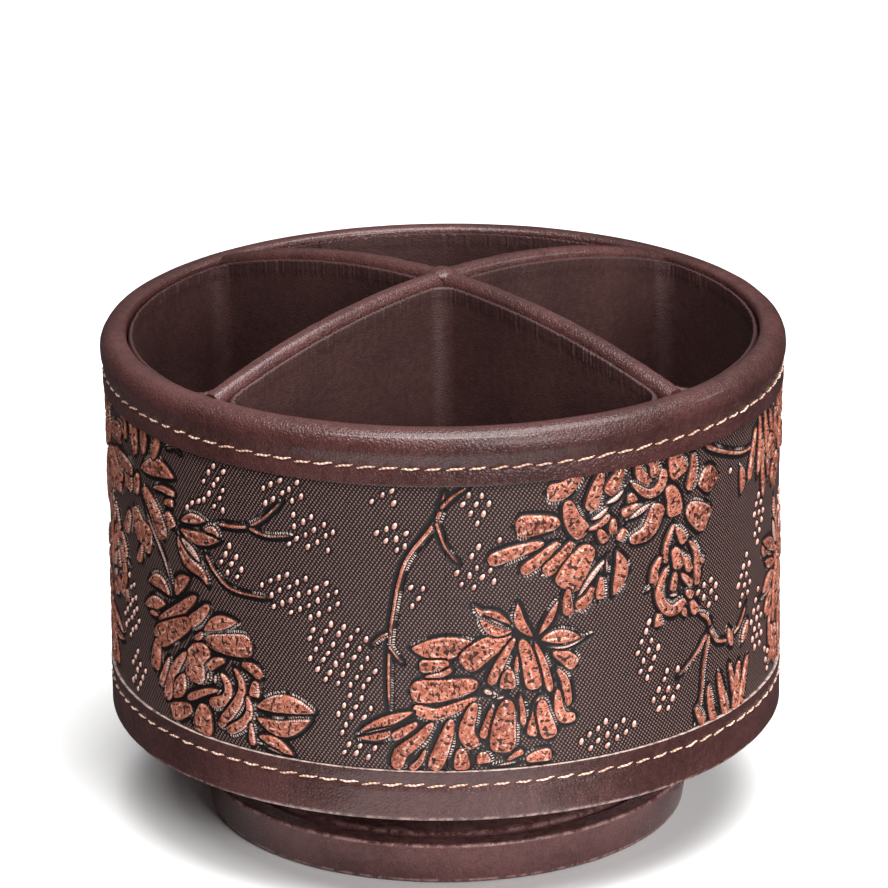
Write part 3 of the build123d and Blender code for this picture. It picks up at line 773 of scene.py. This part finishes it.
fullRose = {"heart": (-60, 53), "shapes": [
    ([(-63.5, 71.6), (-70, 66.2), (-78, 60.4)], 3.6, "p"),
    ([(-59.2, 70.6), (-62.6, 67), (-66, 64.4)], 3.2, "p"),
    ([(-65.4, 65), (-71, 61.6), (-79.6, 56.6)], 5.6, "r"),
    ([(-50.6, 68.4), (-56, 67), (-61.2, 64)], 3.0, "l"),
    ([(-60.6, 61.6), (-54, 62.2), (-46.6, 63.4)], 5.6, "r"), ([(-61.4, 63.2), (-64, 60.6)], 2.0, "p"),
    ([(-54.6, 58.2), (-57.5, 57), (-60.2, 55)], 2.6, "p"),
    ([(-59.4, 59.4), (-64, 56.6), (-64.4, 50)], 6.4, "r"),
    ([(-49.8, 58.4), (-46.6, 58), (-44.2, 56.2)], 2.8, "p"), ([(-45.8, 55.2), (-46.4, 51)], 2.9, "p"),
    ([(-56, 54.8), (-53.8, 52), (-55, 48.4), (-59.8, 46.4)], 2.8, "p"),
    ([(-52, 57), (-49.8, 53.4), (-51.2, 48.6), (-56.8, 41.4)], 2.8, "r"),
    ([(-48.4, 51), (-47.8, 47), (-50, 43.6), (-54.4, 40.8)], 2.6, "p"),
    ([(-57.6, 54.2), (-58, 51.4)], 1.3, "w"), ([(-60, 54.2), (-60.4, 51.6)], 1.1, "w"),
    ([(-56.8, 50.2), (-61, 48.8), (-67.4, 45.4)], 2.0, "p"),
    ([(-61.4, 45.6), (-62, 42), (-62.6, 38)], 6.2, "r"),
    ([(-65.8, 43.4), (-70, 41.6), (-73.8, 40)], 4.4, "r"),
    ([(-67.4, 56.8), (-72, 51), (-75.6, 42.6)], 3.2, "p"),
    ([(-68.2, 51.4), (-70, 47.6), (-72.4, 44)], 3.4, "l"),
    ([(-78.4, 57), (-79.6, 53), (-80.6, 48.6)], 4.0, "p"),
    ([(-74, 53.6), (-76, 49.6), (-78.2, 45.4)], 2.2, "p"),
    ([(-46, 48.8), (-38, 51), (-30.5, 50)], 3.8, "l"),
    ([(-46, 46.2), (-39, 44.7), (-31.5, 48.2)], 3.4, "l"), ([(-47.4, 44.6), (-47, 39)], 1.9, "p"),
    ([(-45.6, 41.8), (-41, 41), (-36, 38.6)], 2.4, "l"), ([(-44.6, 39.6), (-41, 39), (-38, 38)], 0.8, "w"),
    ([(-82.5, 70), (-77, 71.2), (-73, 69)], 3.0, "l"),
    ([(-84.5, 63.4), (-79, 65.6), (-75, 66.4)], 2.8, "l"), ([(-82.5, 62.4), (-78, 62.6)], 1.3, "l"),
    ([(-70.6, 69.8), (-69, 73.4), (-65.6, 75.6)], 2.8, "l"),
]}
sideRose = {"heart": (-80, 90), "shapes": [
    ([(-85, 96.8), (-77, 99.2), (-70.3, 98.4)], 3.8, "l"),
    ([(-79, 93.8), (-75, 94.6), (-70.2, 94.4)], 1.8, "p"), ([(-74.6, 91.6), (-70.8, 92.2)], 2.2, "p"),
    ([(-73.6, 89.6), (-71.4, 86)], 3.4, "p"), ([(-84, 92.4), (-79, 88), (-75, 82.2)], 5.0, "r"),
    ([(-89.4, 86), (-86, 81.4), (-80.3, 79.4)], 7.0, "r"), ([(-79, 100.6), (-77, 107)], 3.4, "p"),
    ([(-83.6, 100.4), (-83, 107)], 3.0, "p"), ([(-88, 99), (-89, 107)], 4.2, "r"),
    ([(-91.6, 97), (-92.6, 89)], 4.6, "r"), ([(-86.6, 95), (-88.4, 89.6)], 3.0, "p"),
    ([(-85, 78), (-87.4, 73)], 2.2, "p"), ([(-92, 84), (-95, 78)], 3.4, "p"),
    ([(-95, 97), (-99, 92), (-101, 86)], 5.0, "r"), ([(-93.6, 101), (-95.6, 107)], 3.4, "p"),
    ([(-84.6, 89.6), (-81.4, 85), (-77, 80), (-74, 75.4), (-72, 69.4)], 1.1, "w"),
]}
bud = {"heart": (57, 79), "shapes": [
    ([(56.6, 90), (54.4, 86), (53.7, 81)], 1.7, "p"), ([(52.8, 83), (50.7, 79.6), (51, 75.8)], 2.6, "p"),
    ([(48.2, 75.3), (50, 76.6)], 0.9, "w"), ([(57.4, 88.8), (59, 86.5), (59.9, 84.4)], 2.6, "p"),
    ([(56.6, 84), (58, 81), (58.6, 78.6)], 3.8, "r"), ([(60.2, 81), (61.9, 77)], 2.4, "p"),
    ([(61.6, 84.6), (64, 80.6), (64.2, 73)], 2.3, "p"),
    ([(54.6, 80), (52.2, 75), (53.4, 71), (56.4, 68.9), (60.4, 70.6)], 2.9, "p"),
    ([(57.2, 78.2), (56.4, 73.6)], 2.2, "r"), ([(59, 77.2), (62.4, 73.6)], 2.0, "p"),
    ([(55.2, 72.8), (58.2, 72.4)], 1.1, "w"), ([(60.4, 72.6), (62.8, 70.8)], 2.2, "p"),
    ([(59.8, 69), (60.2, 66.3)], 1.5, "l"), ([(62.3, 69.7), (64.2, 66.2)], 2.6, "p"),
    ([(51.9, 69.4), (52.1, 66)], 2.4, "p"), ([(65, 79.4), (66.6, 78)], 1.4, "p"),
]}
leafSpray = {"heart": (-64, 84), "shapes": [
    ([(-68.4, 88.8), (-64, 90.4), (-59.6, 90.8)], 2.2, "l"),
    ([(-68.6, 86.8), (-63, 86), (-55, 87.3)], 2.8, "l"),
    ([(-60.4, 88.4), (-57.5, 89.2), (-55.2, 87.6)], 1.6, "l"),
    ([(-69.6, 85), (-66.5, 80), (-61.4, 77.8), (-59.3, 75)], 2.8, "l"),
    ([(-68.6, 84.8), (-64.6, 82.4), (-61.6, 80.2)], 2.4, "w"),
]}
risingPetals = {"heart": (77, 45), "shapes": [
    ([(68.5, 47), (70, 40), (72.5, 34)], 2.6, "p"), ([(72.5, 49), (74.5, 42), (76.8, 35)], 2.8, "r"),
    ([(77, 50), (79, 43), (80, 36)], 2.2, "p"), ([(81.5, 49), (80.5, 42), (79.6, 35)], 3.0, "r"),
    ([(86, 49), (83.5, 42), (81.5, 35)], 2.6, "p"), ([(64, 43), (67, 38)], 2.4, "p"),
    ([(78, 53.5), (76.5, 59)], 1.8, "l"), ([(82.5, 52.5), (86, 58)], 1.8, "l"),
]}
frond = {"heart": (93, 99), "shapes": [
    ([(91.5, 107), (92.5, 100), (90.5, 91)], 2.0, "l"), ([(95, 107), (97, 99), (98.5, 88)], 2.2, "l"),
    ([(89.6, 104), (87.6, 98), (85.6, 92)], 2.0, "p"), ([(99, 106), (102, 98), (104, 89)], 2.2, "l"),
    ([(93.6, 98), (94.6, 92), (94.4, 85)], 2.4, "l"), ([(81.5, 97), (82.4, 93.5), (81.6, 90)], 2.0, "l"),
    ([(93, 104), (95, 97), (95.6, 90)], 0.8, "w"), ([(97.4, 104), (100, 96), (101.4, 88)], 0.8, "w"),
]}

# Half of the pattern, which the other half repeats: a flower, its heart's place, turn in degrees, mirrored
flowerPlaces = [
    (sideRose, -80, 90, 0, 1), (chrysanthemum, 8, 58, 0, 1), (openRose, 39, 92, 0, 1),
    (fullRose, -60, 53, 0, 1), (bud, 57, 79, 0, 1), (leafSpray, -64, 84, 0, 1),
    (risingPetals, 77, 45, 0, 1), (frond, 93, 99, 0, 1), (chrysanthemum, 120, 56, 12, -1),
    (openRose, 130, 94, 8, -1), (leafSpray, 104, 72, 150, 1), (bud, 147, 72, 10, -1),
]
stems = [                           # points on the panel, then the width
    ([(0, 105), (-2, 98), (-9, 88), (-12, 75), (-13, 64), (-13, 52)], 1.3),
    ([(-2, 98), (0, 92), (3, 88)], 1.0), ([(-1, 101), (2, 104), (5, 106)], 1.1),
    ([(-13, 71), (-15, 70), (-17, 68)], 0.9), ([(-13, 68), (-10, 64)], 0.9),
    ([(65, 66), (69, 62), (67, 53), (66, 45), (64, 39)], 1.2), ([(68, 60), (64, 56), (58, 52)], 1.0),
    ([(69, 61), (72, 57), (77, 56), (82, 58), (85, 62)], 1.2),
    ([(67, 106), (73, 103), (82, 100), (89, 100)], 1.4),
    ([(-56, 91), (-48, 92), (-43, 95), (-38, 100)], 1.1), ([(-47, 92), (-42, 91), (-36, 92)], 1.0),
    ([(-60, 83), (-57, 79), (-52, 76), (-42, 76)], 1.1), ([(-73, 105), (-70, 106), (-68, 105)], 0.8),
]
beadSprays = [                      # across, up, how wide, how tall, lean in degrees
    (-57, 100, 8, 14, 55), (-38, 102, 12, 8, 35), (-32, 93, 14, 9, 35), (-52, 82, 7, 9, 60),
    (-34, 78, 21, 10, 30), (-24, 65, 17, 17, 60), (-14, 104, 9, 5, 30), (-11, 94, 10, 6, 25),
    (-6, 80, 4, 9, 60), (-20, 48, 10, 18, 60), (7, 102, 6, 9, 60), (7, 87, 11, 12, 50), (12, 93, 4, 5, 60),
    (38, 43, 14, 8, 30), (49, 61, 8, 15, 65), (55, 50, 10, 11, 55), (69, 70, 9, 6, 20), (84, 67, 7, 15, 60),
    (92, 82, 7, 14, 60), (91, 56, 8, 16, 60), (77, 97, 5, 4, 30), (-64, 94, 5, 4, 30),
    (-94, 60, 11, 16, 40), (-90, 45, 9, 10, 50), (100, 45, 8, 9, 45), (112, 76, 12, 9, 30),
    (-106, 88, 7, 9, 50),
]
bead = {"long": 1.75, "wide": 1.30, "tall": 0.50, "sunk": 0.08, "pitch": 2.55, "row": 2.75, "clear": 1.3}
pointed = {"l": 1.25, "w": 0.9}     # how much wider than their numbers these kinds are drawn


def growFlower(flower, s, z, turn, mirrored):
    spin = Matrix.Rotation(math.radians(turn), 2)
    heart = Vector(flower["heart"])
    for points, width, kind in flower["shapes"]:
        spine = []
        for x, y in curveThrough(points):
            spot = spin @ Vector(((x - heart.x) * mirrored, y - heart.y))
            spine.append((s + spot.x, z + spot.y))
        half = leafWidth(width * pointed[kind]) if kind in pointed else petalWidth(width)
        sheet.press(spine, half, kind, width)


def placeBeads(shift):
    places = []
    for s, z, wide, tall, lean in beadSprays:
        tilt = math.radians(lean)
        reach = int(max(wide, tall) / bead["pitch"]) + 1
        for row in range(-reach, reach + 1):
            for place in range(-reach, reach + 1):
                u = (place + 0.5 * (row % 2)) * bead["pitch"] + sheet.dice.uniform(-0.3, 0.3)
                v = row * bead["row"] + sheet.dice.uniform(-0.25, 0.25)
                x = s + shift + u * math.cos(tilt) - v * math.sin(tilt)
                up = z + u * math.sin(tilt) + v * math.cos(tilt)
                if (2 * (x - s - shift) / wide) ** 2 + (2 * (up - z) / tall) ** 2 > 1.1:
                    continue
                if panelLow + 1.1 < up < panelHigh - 1.1 and sheet.clearOf(x, up) > bead["clear"]:
                    places.append((x, up))
    return places


def makeBeads(places):
    bm = bmesh.new()
    bmesh.ops.create_uvsphere(bm, u_segments=10, v_segments=6, radius=0.5)
    repeatShape(bm, len(places))
    lie = bm.verts.layers.float_vector.new("lie")
    for (s, z), made in zip(places, inGroups(bm, len(places))):
        size, chance = sheet.dice.uniform(0.82, 1.08), sheet.dice.random()
        heading = math.radians(sheet.dice.uniform(45, 85))
        for vert in made:
            x, y, up = vert.co
            vert[lie] = (chance, x + 0.5, up)
            along = x * bead["long"] * size
            across = y * bead["wide"] * size * (0.85 - 0.4 * x)
            vert.co = onPanel(s + along * math.cos(heading) - across * math.sin(heading),
                              z + along * math.sin(heading) + across * math.cos(heading),
                              up * 2 * bead["tall"] - bead["sunk"])
    finishPiece(bm, "raisedBeads", beadPaint, "cup", ["embossed_panel"], 70)


def onPanel(s, z, height):
    angle = frontAngle + math.radians(s / perDegree)
    radius = panel["groundRadius"] + height
    return Vector((radius * math.cos(angle), radius * math.sin(angle), z))


sheet = Sheet()
for shift in (0, halfTurn):
    for points, width in stems:
        sheet.press([(s + shift, z) for s, z in curveThrough(points)], stemWidth(width), "s", width)
    for flower, s, z, turn, mirrored in flowerPlaces:
        growFlower(flower, s + shift, z, turn, mirrored)
beadPlaces = placeBeads(0) + placeBeads(halfTurn)
for s, z in beadPlaces:
    sheet.markBead(s, z)
sheet.settle()
for sector in range(panel["sectors"]):
    makePanelSector(sheet, sector)
makeBeads(beadPlaces)
print("embossed panel made,", len(beadPlaces), "beads")


# ---- dividers and linings ----
arch = {"crest": extent("divider_wrap_x")["high"], "radius": 234.8, "half": 2.5, "round": 2.4, "deep": 16.0,
        "row": 2.2, "station": 0.7, "gapHalf": 1.2}
lining = {"face": 3.5, "wall": 73.1, "corner": 4.0, "thick": 0.9, "below": 2.0, "count": 520, "pleat": 0.28,
          "pleatPitch": 1.15, "length": 240.0, "floor": extent("front_floor_felt")["low"] + 0.4}
floorPad = {"face": 3.6, "wall": 73.0, "corner": 4.0, "count": 160, "uneven": 0.06}
sides = {"front": 0, "right": 90, "back": 180, "left": 270}


def archHeight(x, y):
    return arch["crest"] - arch["radius"] + math.sqrt(arch["radius"] ** 2 - x * x - y * y)


def stackRings(rings, close):       # closed rings of points joined one to the next
    bm = bmesh.new()
    first = bmesh.ops.create_circle(bm, segments=len(rings[0]), radius=1)["verts"]
    edges = bm.edges[:]
    for vert, point in zip(first, rings[0]):
        vert.co = point
    last, lastEdges = first, edges
    for ring in rings[1:]:
        made = bmesh.ops.extrude_edge_only(bm, edges=lastEdges)["geom"]
        old = {vert: n for n, vert in enumerate(last)}
        lastEdges = [item for item in made if isinstance(item, bmesh.types.BMEdge) and item.is_boundary]
        fresh = [None] * len(ring)
        for vert in last:           # the new vertex above each old one
            for edge in vert.link_edges:
                other = edge.other_vert(vert)
                if other not in old and other.is_boundary:
                    fresh[old[vert]] = other
        for vert, point in zip(fresh, ring):
            vert.co = point
        last = fresh
    if close:
        bmesh.ops.bridge_loops(bm, edges=[edge for edge in bm.edges if edge.is_boundary])
    else:
        bmesh.ops.holes_fill(bm, edges=[edge for edge in bm.edges if edge.is_boundary], sides=0)
    bmesh.ops.recalc_face_normals(bm, faces=bm.faces)
    return bm


def evenly(points, count):          # the same outline with evenly spaced points
    loop = points + [points[0]]
    pace = [0.0]
    for a, b in zip(loop, loop[1:]):
        pace.append(pace[-1] + math.dist(a, b))
    made = []
    n = 0
    for k in range(count):
        goal = pace[-1] * k / count
        while pace[n + 1] < goal:
            n += 1
        t = (goal - pace[n]) / max(1e-9, pace[n + 1] - pace[n])
        (ax, ay), (bx, by) = loop[n], loop[n + 1]
        made.append((ax + (bx - ax) * t, ay + (by - ay) * t))
    return made


def quarterOutline(face, wall, corner, count):
    far = math.sqrt((wall - corner) ** 2 - (face + corner) ** 2)
    turn = math.degrees(math.atan2(face + corner, far))
    points = [(face + corner, face)] + arcPoints((far, face + corner), corner, -90, turn, 8)
    points += arcPoints((0, 0), wall, turn, 90 - turn, 160)
    points += arcPoints((face + corner, far), corner, 90 - turn, 180, 8)
    points += arcPoints((face + corner, face + corner), corner, 180, 270, 8)
    return evenly(points, count)


def makeLining(side, turn):
    count = lining["count"]
    length = lining["length"]
    pleats = round(length / lining["pleatPitch"])
    spin = Matrix.Rotation(frontAngle + math.radians(turn - 45), 3, "Z")
    seed = Vector((turn, 3.1, 0.7))

    def ring(face, wall, height, puckered):
        flat = quarterOutline(face, wall, lining["corner"], count)
        points = []
        for n, (x, y) in enumerate(flat):
            ahead, behind = flat[(n + 1) % count], flat[n - 1]
            dx, dy = ahead[0] - behind[0], ahead[1] - behind[1]
            size = math.hypot(dx, dy)
            along = n / count * length
            wander = noise.noise(seed + Vector((along * 0.35, 0, 0)))
            ripple = math.cos(math.tau * (n / count * pleats + 0.8 * wander))
            uneven = 0.55 + 0.9 * noise.noise(seed + Vector((along * 0.9, 7, 0)))
            push = lining["pleat"] * puckered * ripple * uneven + 0.16 * puckered * wander
            top = archHeight(x, y) - lining["below"]
            z = height(top) + 0.22 * puckered * ripple * uneven
            points.append(spin @ Vector((x + dy / size * push, y - dx / size * push, z)))
        return points

    low, face, wall = lining["floor"], lining["face"], lining["wall"]
    rings = [ring(face, wall, lambda top, t=t: low + (top - 9 - low) * t, 0.0)
             for t in (0, 0.25, 0.5, 0.75, 1)]
    for down, puckered in ((7, 0.0), (5.4, 0.1), (4.2, 0.35), (3.3, 0.75), (2.7, 1.0), (2.1, 1.0), (1.5, 0.9),
                           (1.0, 0.9), (0.5, 1.0), (0.15, 0.9)):
        inset = 0.10 * smooth(3.4, 2.2, down) if down < 3.4 else 0
        rings.append(ring(face + inset, wall - inset, lambda top, d=down: top - d, puckered))
    rings.append(ring(face - 0.3, wall + 0.3, lambda top: top + 0.12, 0.7))
    rings.append(ring(face - 0.65, wall + 0.6, lambda top: top - 0.1, 0.3))
    rings.append(ring(face - lining["thick"], wall + lining["thick"], lambda top: top - 0.8, 0.0))
    rings.append(ring(face - lining["thick"], wall + lining["thick"], lambda top: low, 0.0))
    bm = stackRings(rings, True)
    finishPiece(bm, side + "Lining", liningLeather, "cup", [side + "_lining"], 70)


def makeFloorFelt(side, turn):
    spin = Matrix.Rotation(frontAngle + math.radians(turn - 45), 3, "Z")
    size = extent(side + "_floor_felt")
    low, high, face, wall = size["low"], size["high"], floorPad["face"], floorPad["wall"]
    rings = []
    for inset, height in ((0.5, low), (0.1, low + 0.3), (0.0, high - 0.5), (0.15, high - 0.15), (0.6, high),
                          (6, high)):
        ring = []
        for x, y in quarterOutline(face + inset, wall - inset, floorPad["corner"], floorPad["count"]):
            lift = floorPad["uneven"] * noise.noise(Vector((x, y, turn)) * 0.1)
            ring.append(spin @ Vector((x, y, height + lift)))
        rings.append(ring)
    finishPiece(stackRings(rings, False), side + "FloorFelt", felt, "cup", [side + "_floor_felt"], 50)


def makeWrap(name, start, end, alongY, nodes):      # folded leather over a divider's arched top edge
    stations = int(abs(end - start) / arch["station"])
    half, bend = arch["half"], -arch["round"]
    drops = [-arch["deep"]] + [-arch["deep"] + n * arch["row"] for n in range(1, 6)] + [bend - 0.9]
    section = [(-half, drop) for drop in drops] + arcPoints((0, bend), half, 180, 0, 14)
    section += [(half, drop) for drop in reversed(drops)]
    rings = []
    for n in range(stations + 1):
        d = start + (end - start) * n / stations
        height = archHeight(d, 0)
        ring = []
        for side, drop in section:
            deep = smooth(-12, -3, drop)
            ripple = 0.10 * noise.noise(Vector((d * 0.16, side * 0.3, 2 + len(name)))) * deep
            crease = 0.06 * noise.noise(Vector((d * 0.9, side * 0.5, 9))) * deep
            across = side * (1 + (ripple + crease) / 2.5 - 0.03 * deep)
            z = height + min(0.0, drop * 1.04 + ripple + crease + 0.1)
            ring.append((across, d, z) if alongY else (d, across, z))
        rings.append(ring)
    finishPiece(stackRings(rings, False), name, leather, "cup", nodes, 70)


def makeCrossingPatch():
    top = extent("crossing_patch")
    bm = bmesh.new()
    bmesh.ops.create_uvsphere(bm, u_segments=48, v_segments=24, radius=1)
    tall = top["high"] - arch["crest"] + 0.9
    bmesh.ops.scale(bm, vec=(top["out"] + 0.3, top["out"] + 0.3, tall), verts=bm.verts)
    bmesh.ops.translate(bm, vec=(0, 0, top["high"] - tall), verts=bm.verts)
    for vert in bm.verts:
        if vert.co.z > arch["crest"] - 0.3:
            vert.co.z -= 0.06 * (1 + math.cos(6 * math.atan2(vert.co.y, vert.co.x))) * vert.co.xy.length / 3
    finishPiece(bm, "crossingPatch", leather, "cup", ["crossing_patch"], 70)


for side, turn in sides.items():
    makeLining(side, turn)
    makeFloorFelt(side, turn)
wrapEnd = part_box("divider_wrap_x")[1].x * 1000
makeWrap("dividerWrapX", -wrapEnd, wrapEnd, False, ["divider_wrap_x"])
makeWrap("dividerWrapYLeft", -wrapEnd, -arch["gapHalf"], True, ["divider_wrap_y_left"])
makeWrap("dividerWrapYRight", arch["gapHalf"], wrapEnd, True, ["divider_wrap_y_right"])
makeCrossingPatch()
print("dividers and linings made")


# ---- base ----
base = {"steps": 600, "wave": 0.12, "lap": 0.25, "lapFade": 0.3, "feltSteps": 360, "feltWave": 0.12}
discBox = extent("base_top_disc")
feltBox = extent("base_felt")


def baseShift(angle, radius, height):
    around = Vector((math.cos(angle), math.sin(angle), 0))
    outer = smooth(46, 54, radius)
    amount = outer * base["wave"] * noise.noise(around * 7 + Vector((0, 0, height * 0.1)))
    past = angle - math.pi
    if past > 0:
        amount += smooth(55, 56.5, radius) * base["lap"] * (1 - smooth(0, base["lapFade"], past))
    return amount - smooth(55, 56.5, radius) * base["lap"]


def feltShift(angle, radius, height):
    return base["feltWave"] * noise.noise(Vector((angle * 9, radius, 1))) * smooth(50, 54, radius)


def makeBase():
    low, top, out = baseBox["low"], baseBox["high"], baseBox["out"]
    outline = [(55.6, low + 0.9), (55.6, low + 0.25), (56.3, low)]
    outline += arcPoints((out - 2.3, low + 0.7), 0.7, -90, 0, 6)
    outline += [(out - 1.52, low + 1.4), (out - 1.25, low + 3.0), (out - 0.95, low + 5.0)]
    outline += [(out - 0.55, low + 7.4), (out - 0.2, low + 9.2)]
    outline += arcPoints((out - 0.75, top - 0.75), 0.75, 0, 90, 6)
    outline += [(out - 1.6, top - 0.05), (out - 3.0, top), (out - 4.6, top - 0.06), (out - 5.4, top - 0.3)]
    outline += [(out - 5.7, top - 0.8), (out - 6.4, top - 1.1), (out - 2.6, top - 1.2), (out - 2.2, top - 2)]
    outline += [(out - 3.0, low + 1.4), (out - 4.0, low + 1.0)]
    bm = turnProfile(outline, base["steps"])
    moveRadially(bm, baseShift)
    finishPiece(bm, "baseCover", litBaseLeather, "base", ["base_cover"], 60)
    low, top, out = discBox["low"], discBox["high"], discBox["out"]
    outline = [(10, low + 0.05), (out - 0.5, low + 0.02)] + arcPoints((out - 0.4, low + 0.4), 0.4, -90, 90, 8)
    outline += [(out - 1.2, top - 0.02), (out - 2.2, top - 0.14), (out - 3.2, top - 0.02)]
    outline += [(out - 8, top), (10, top)]
    finishPiece(turnProfile(outline, base["steps"]), "baseTopDisc", litBaseLeather, "base", ["base_top_disc"],
                60)
    low, top, out = feltBox["low"], feltBox["high"], feltBox["out"]
    outline = [(0, low), (out - 0.5, low)] + arcPoints((out - 0.45, low + 0.45), 0.45, -90, 90, 6)
    outline += [(out - 1, top), (0, top)]
    bm = turnProfile(outline, base["feltSteps"])
    moveRadially(bm, feltShift)
    finishPiece(bm, "baseFelt", felt, "base", ["base_felt"], 50)


def makeUnderside():
    box = extent("underside_cover")
    low, top, out = box["low"], box["high"], box["out"]
    outline = [(6, low), (out - 0.6, low)] + arcPoints((out - 0.4, low + 0.4), 0.4, -90, 90, 6)
    outline += [(out - 2, top), (6, top)]
    bm = turnProfile(outline, base["feltSteps"])
    finishPiece(bm, "undersideCover", leather, "cup", ["underside_cover"], 60)


makeBase()
makeUnderside()
print("base made")


# ---- floor, light and camera ----
camera = {"azimuth": 45, "elevation": 19.43, "distance": 1.300, "lens": 222.4, "sensor": 36, "aim": 0.0884,
          "roll": -0.0095}


def setOut(bm, name, material, unseenBy=()):    # a part of the studio, and the rays that pass it by
    mesh = bpy.data.meshes.new(name)
    bm.to_mesh(mesh)
    bm.free()
    mesh.materials.append(material)
    prop = bpy.data.objects.new(name, mesh)
    bpy.context.scene.collection.objects.link(prop)
    for ray in unseenBy:
        setattr(prop, "visible_" + ray, False)


def makeStage():
    bm = bmesh.new()
    bmesh.ops.create_grid(bm, x_segments=2, y_segments=2, size=6)
    setOut(bm, "floor", Paint("paleFloor").finish(colour=(0.93, 0.93, 0.925), rough=0.8, specular=0.2))
    world = bpy.data.worlds.new("studioWalls")
    bpy.context.scene.world = world
    world.use_nodes = True
    world.node_tree.nodes["Background"].inputs[0].default_value = (1, 1, 1, 1)
    world.node_tree.nodes["Background"].inputs[1].default_value = lights["walls"]


lights = {                          # right, towards the camera, up, width, height, power
    "walls": 0.31, "aim": 0.08,
    "overhead": (0.20, 0.20, 1.28, 1.2, 0.8, 27),
    "front": (0.62, 1.15, 0.50, 0.55, 0.40, 17),
    "rimStrip": (-0.05, 0.62, 1.05, 1.10, 0.06, 10),
    "rightStrip": (1.10, -0.25, 0.40, 0.20, 0.7, 3),
    "curtainRadius": 0.22, "curtainHeight": 0.19, "curtain": (0.04, 0.035, 0.035),
    "clothSize": 0.30, "clothGap": 0.060,
}


def makeCurtain():                  # a low dark ring and two floor cloths that reflections see
    bm = bmesh.new()
    bmesh.ops.create_cone(bm, segments=96, radius1=lights["curtainRadius"], radius2=lights["curtainRadius"],
                          depth=lights["curtainHeight"], cap_ends=False)
    bmesh.ops.translate(bm, vec=(0, 0, lights["curtainHeight"] / 2 + 0.001), verts=bm.verts)
    cloth = Paint("curtainCloth").finish(colour=lights["curtain"], rough=1.0, specular=0.0)
    unseenBy = ["camera", "shadow", "transmission"]
    setOut(bm, "curtain", cloth, unseenBy)
    reach = lights["clothGap"] + lights["clothSize"] / 2
    toFront = Matrix.Rotation(frontAngle + math.pi / 2, 3, "Z")
    for name, side in (("leftCloth", -1), ("rightCloth", 1)):
        bm = bmesh.new()
        bmesh.ops.create_grid(bm, x_segments=1, y_segments=1, size=lights["clothSize"] / 2)
        bmesh.ops.translate(bm, vec=(side * reach, 0, 0.0012), verts=bm.verts)
        bmesh.ops.rotate(bm, cent=(0, 0, 0), matrix=toFront, verts=bm.verts)
        setOut(bm, name, cloth, unseenBy + ["diffuse"])


def makeLights():
    towards = Vector((math.cos(frontAngle), math.sin(frontAngle), 0))
    right = Vector((-towards.y, towards.x, 0))
    for name in ("overhead", "front", "rimStrip", "rightStrip"):
        across, near, up, wide, tall, power = lights[name]
        lamp = bpy.data.lights.new(name, "AREA")
        lamp.shape = "RECTANGLE"
        lamp.size = wide
        lamp.size_y = tall
        lamp.energy = power
        holder = bpy.data.objects.new(name, lamp)
        holder.location = right * across + towards * near + Vector((0, 0, up))
        aim = Vector((0, 0, lights["aim"])) - holder.location
        holder.rotation_euler = aim.to_track_quat("-Z", "Y").to_euler()
        bpy.context.scene.collection.objects.link(holder)


def makeCamera():
    lens = bpy.data.cameras.new("camera")
    lens.lens = camera["lens"]
    lens.sensor_width = camera["sensor"]
    holder = bpy.data.objects.new("camera", lens)
    azimuth, elevation = math.radians(camera["azimuth"]), math.radians(camera["elevation"])
    back = Vector((math.sin(azimuth) * math.cos(elevation), -math.cos(azimuth) * math.cos(elevation),
                   math.sin(elevation)))
    holder.location = Vector((0, 0, camera["aim"])) + back * camera["distance"]
    turned = (-back).to_track_quat("-Z", "Y").to_matrix() @ Matrix.Rotation(camera["roll"], 3, "Z")
    holder.rotation_euler = turned.to_euler()
    bpy.context.scene.collection.objects.link(holder)
    bpy.context.scene.camera = holder
    bpy.context.scene.view_settings.view_transform = "Standard"


makeStage()
makeCurtain()
makeLights()
makeCamera()
print("floor, lights and camera made")
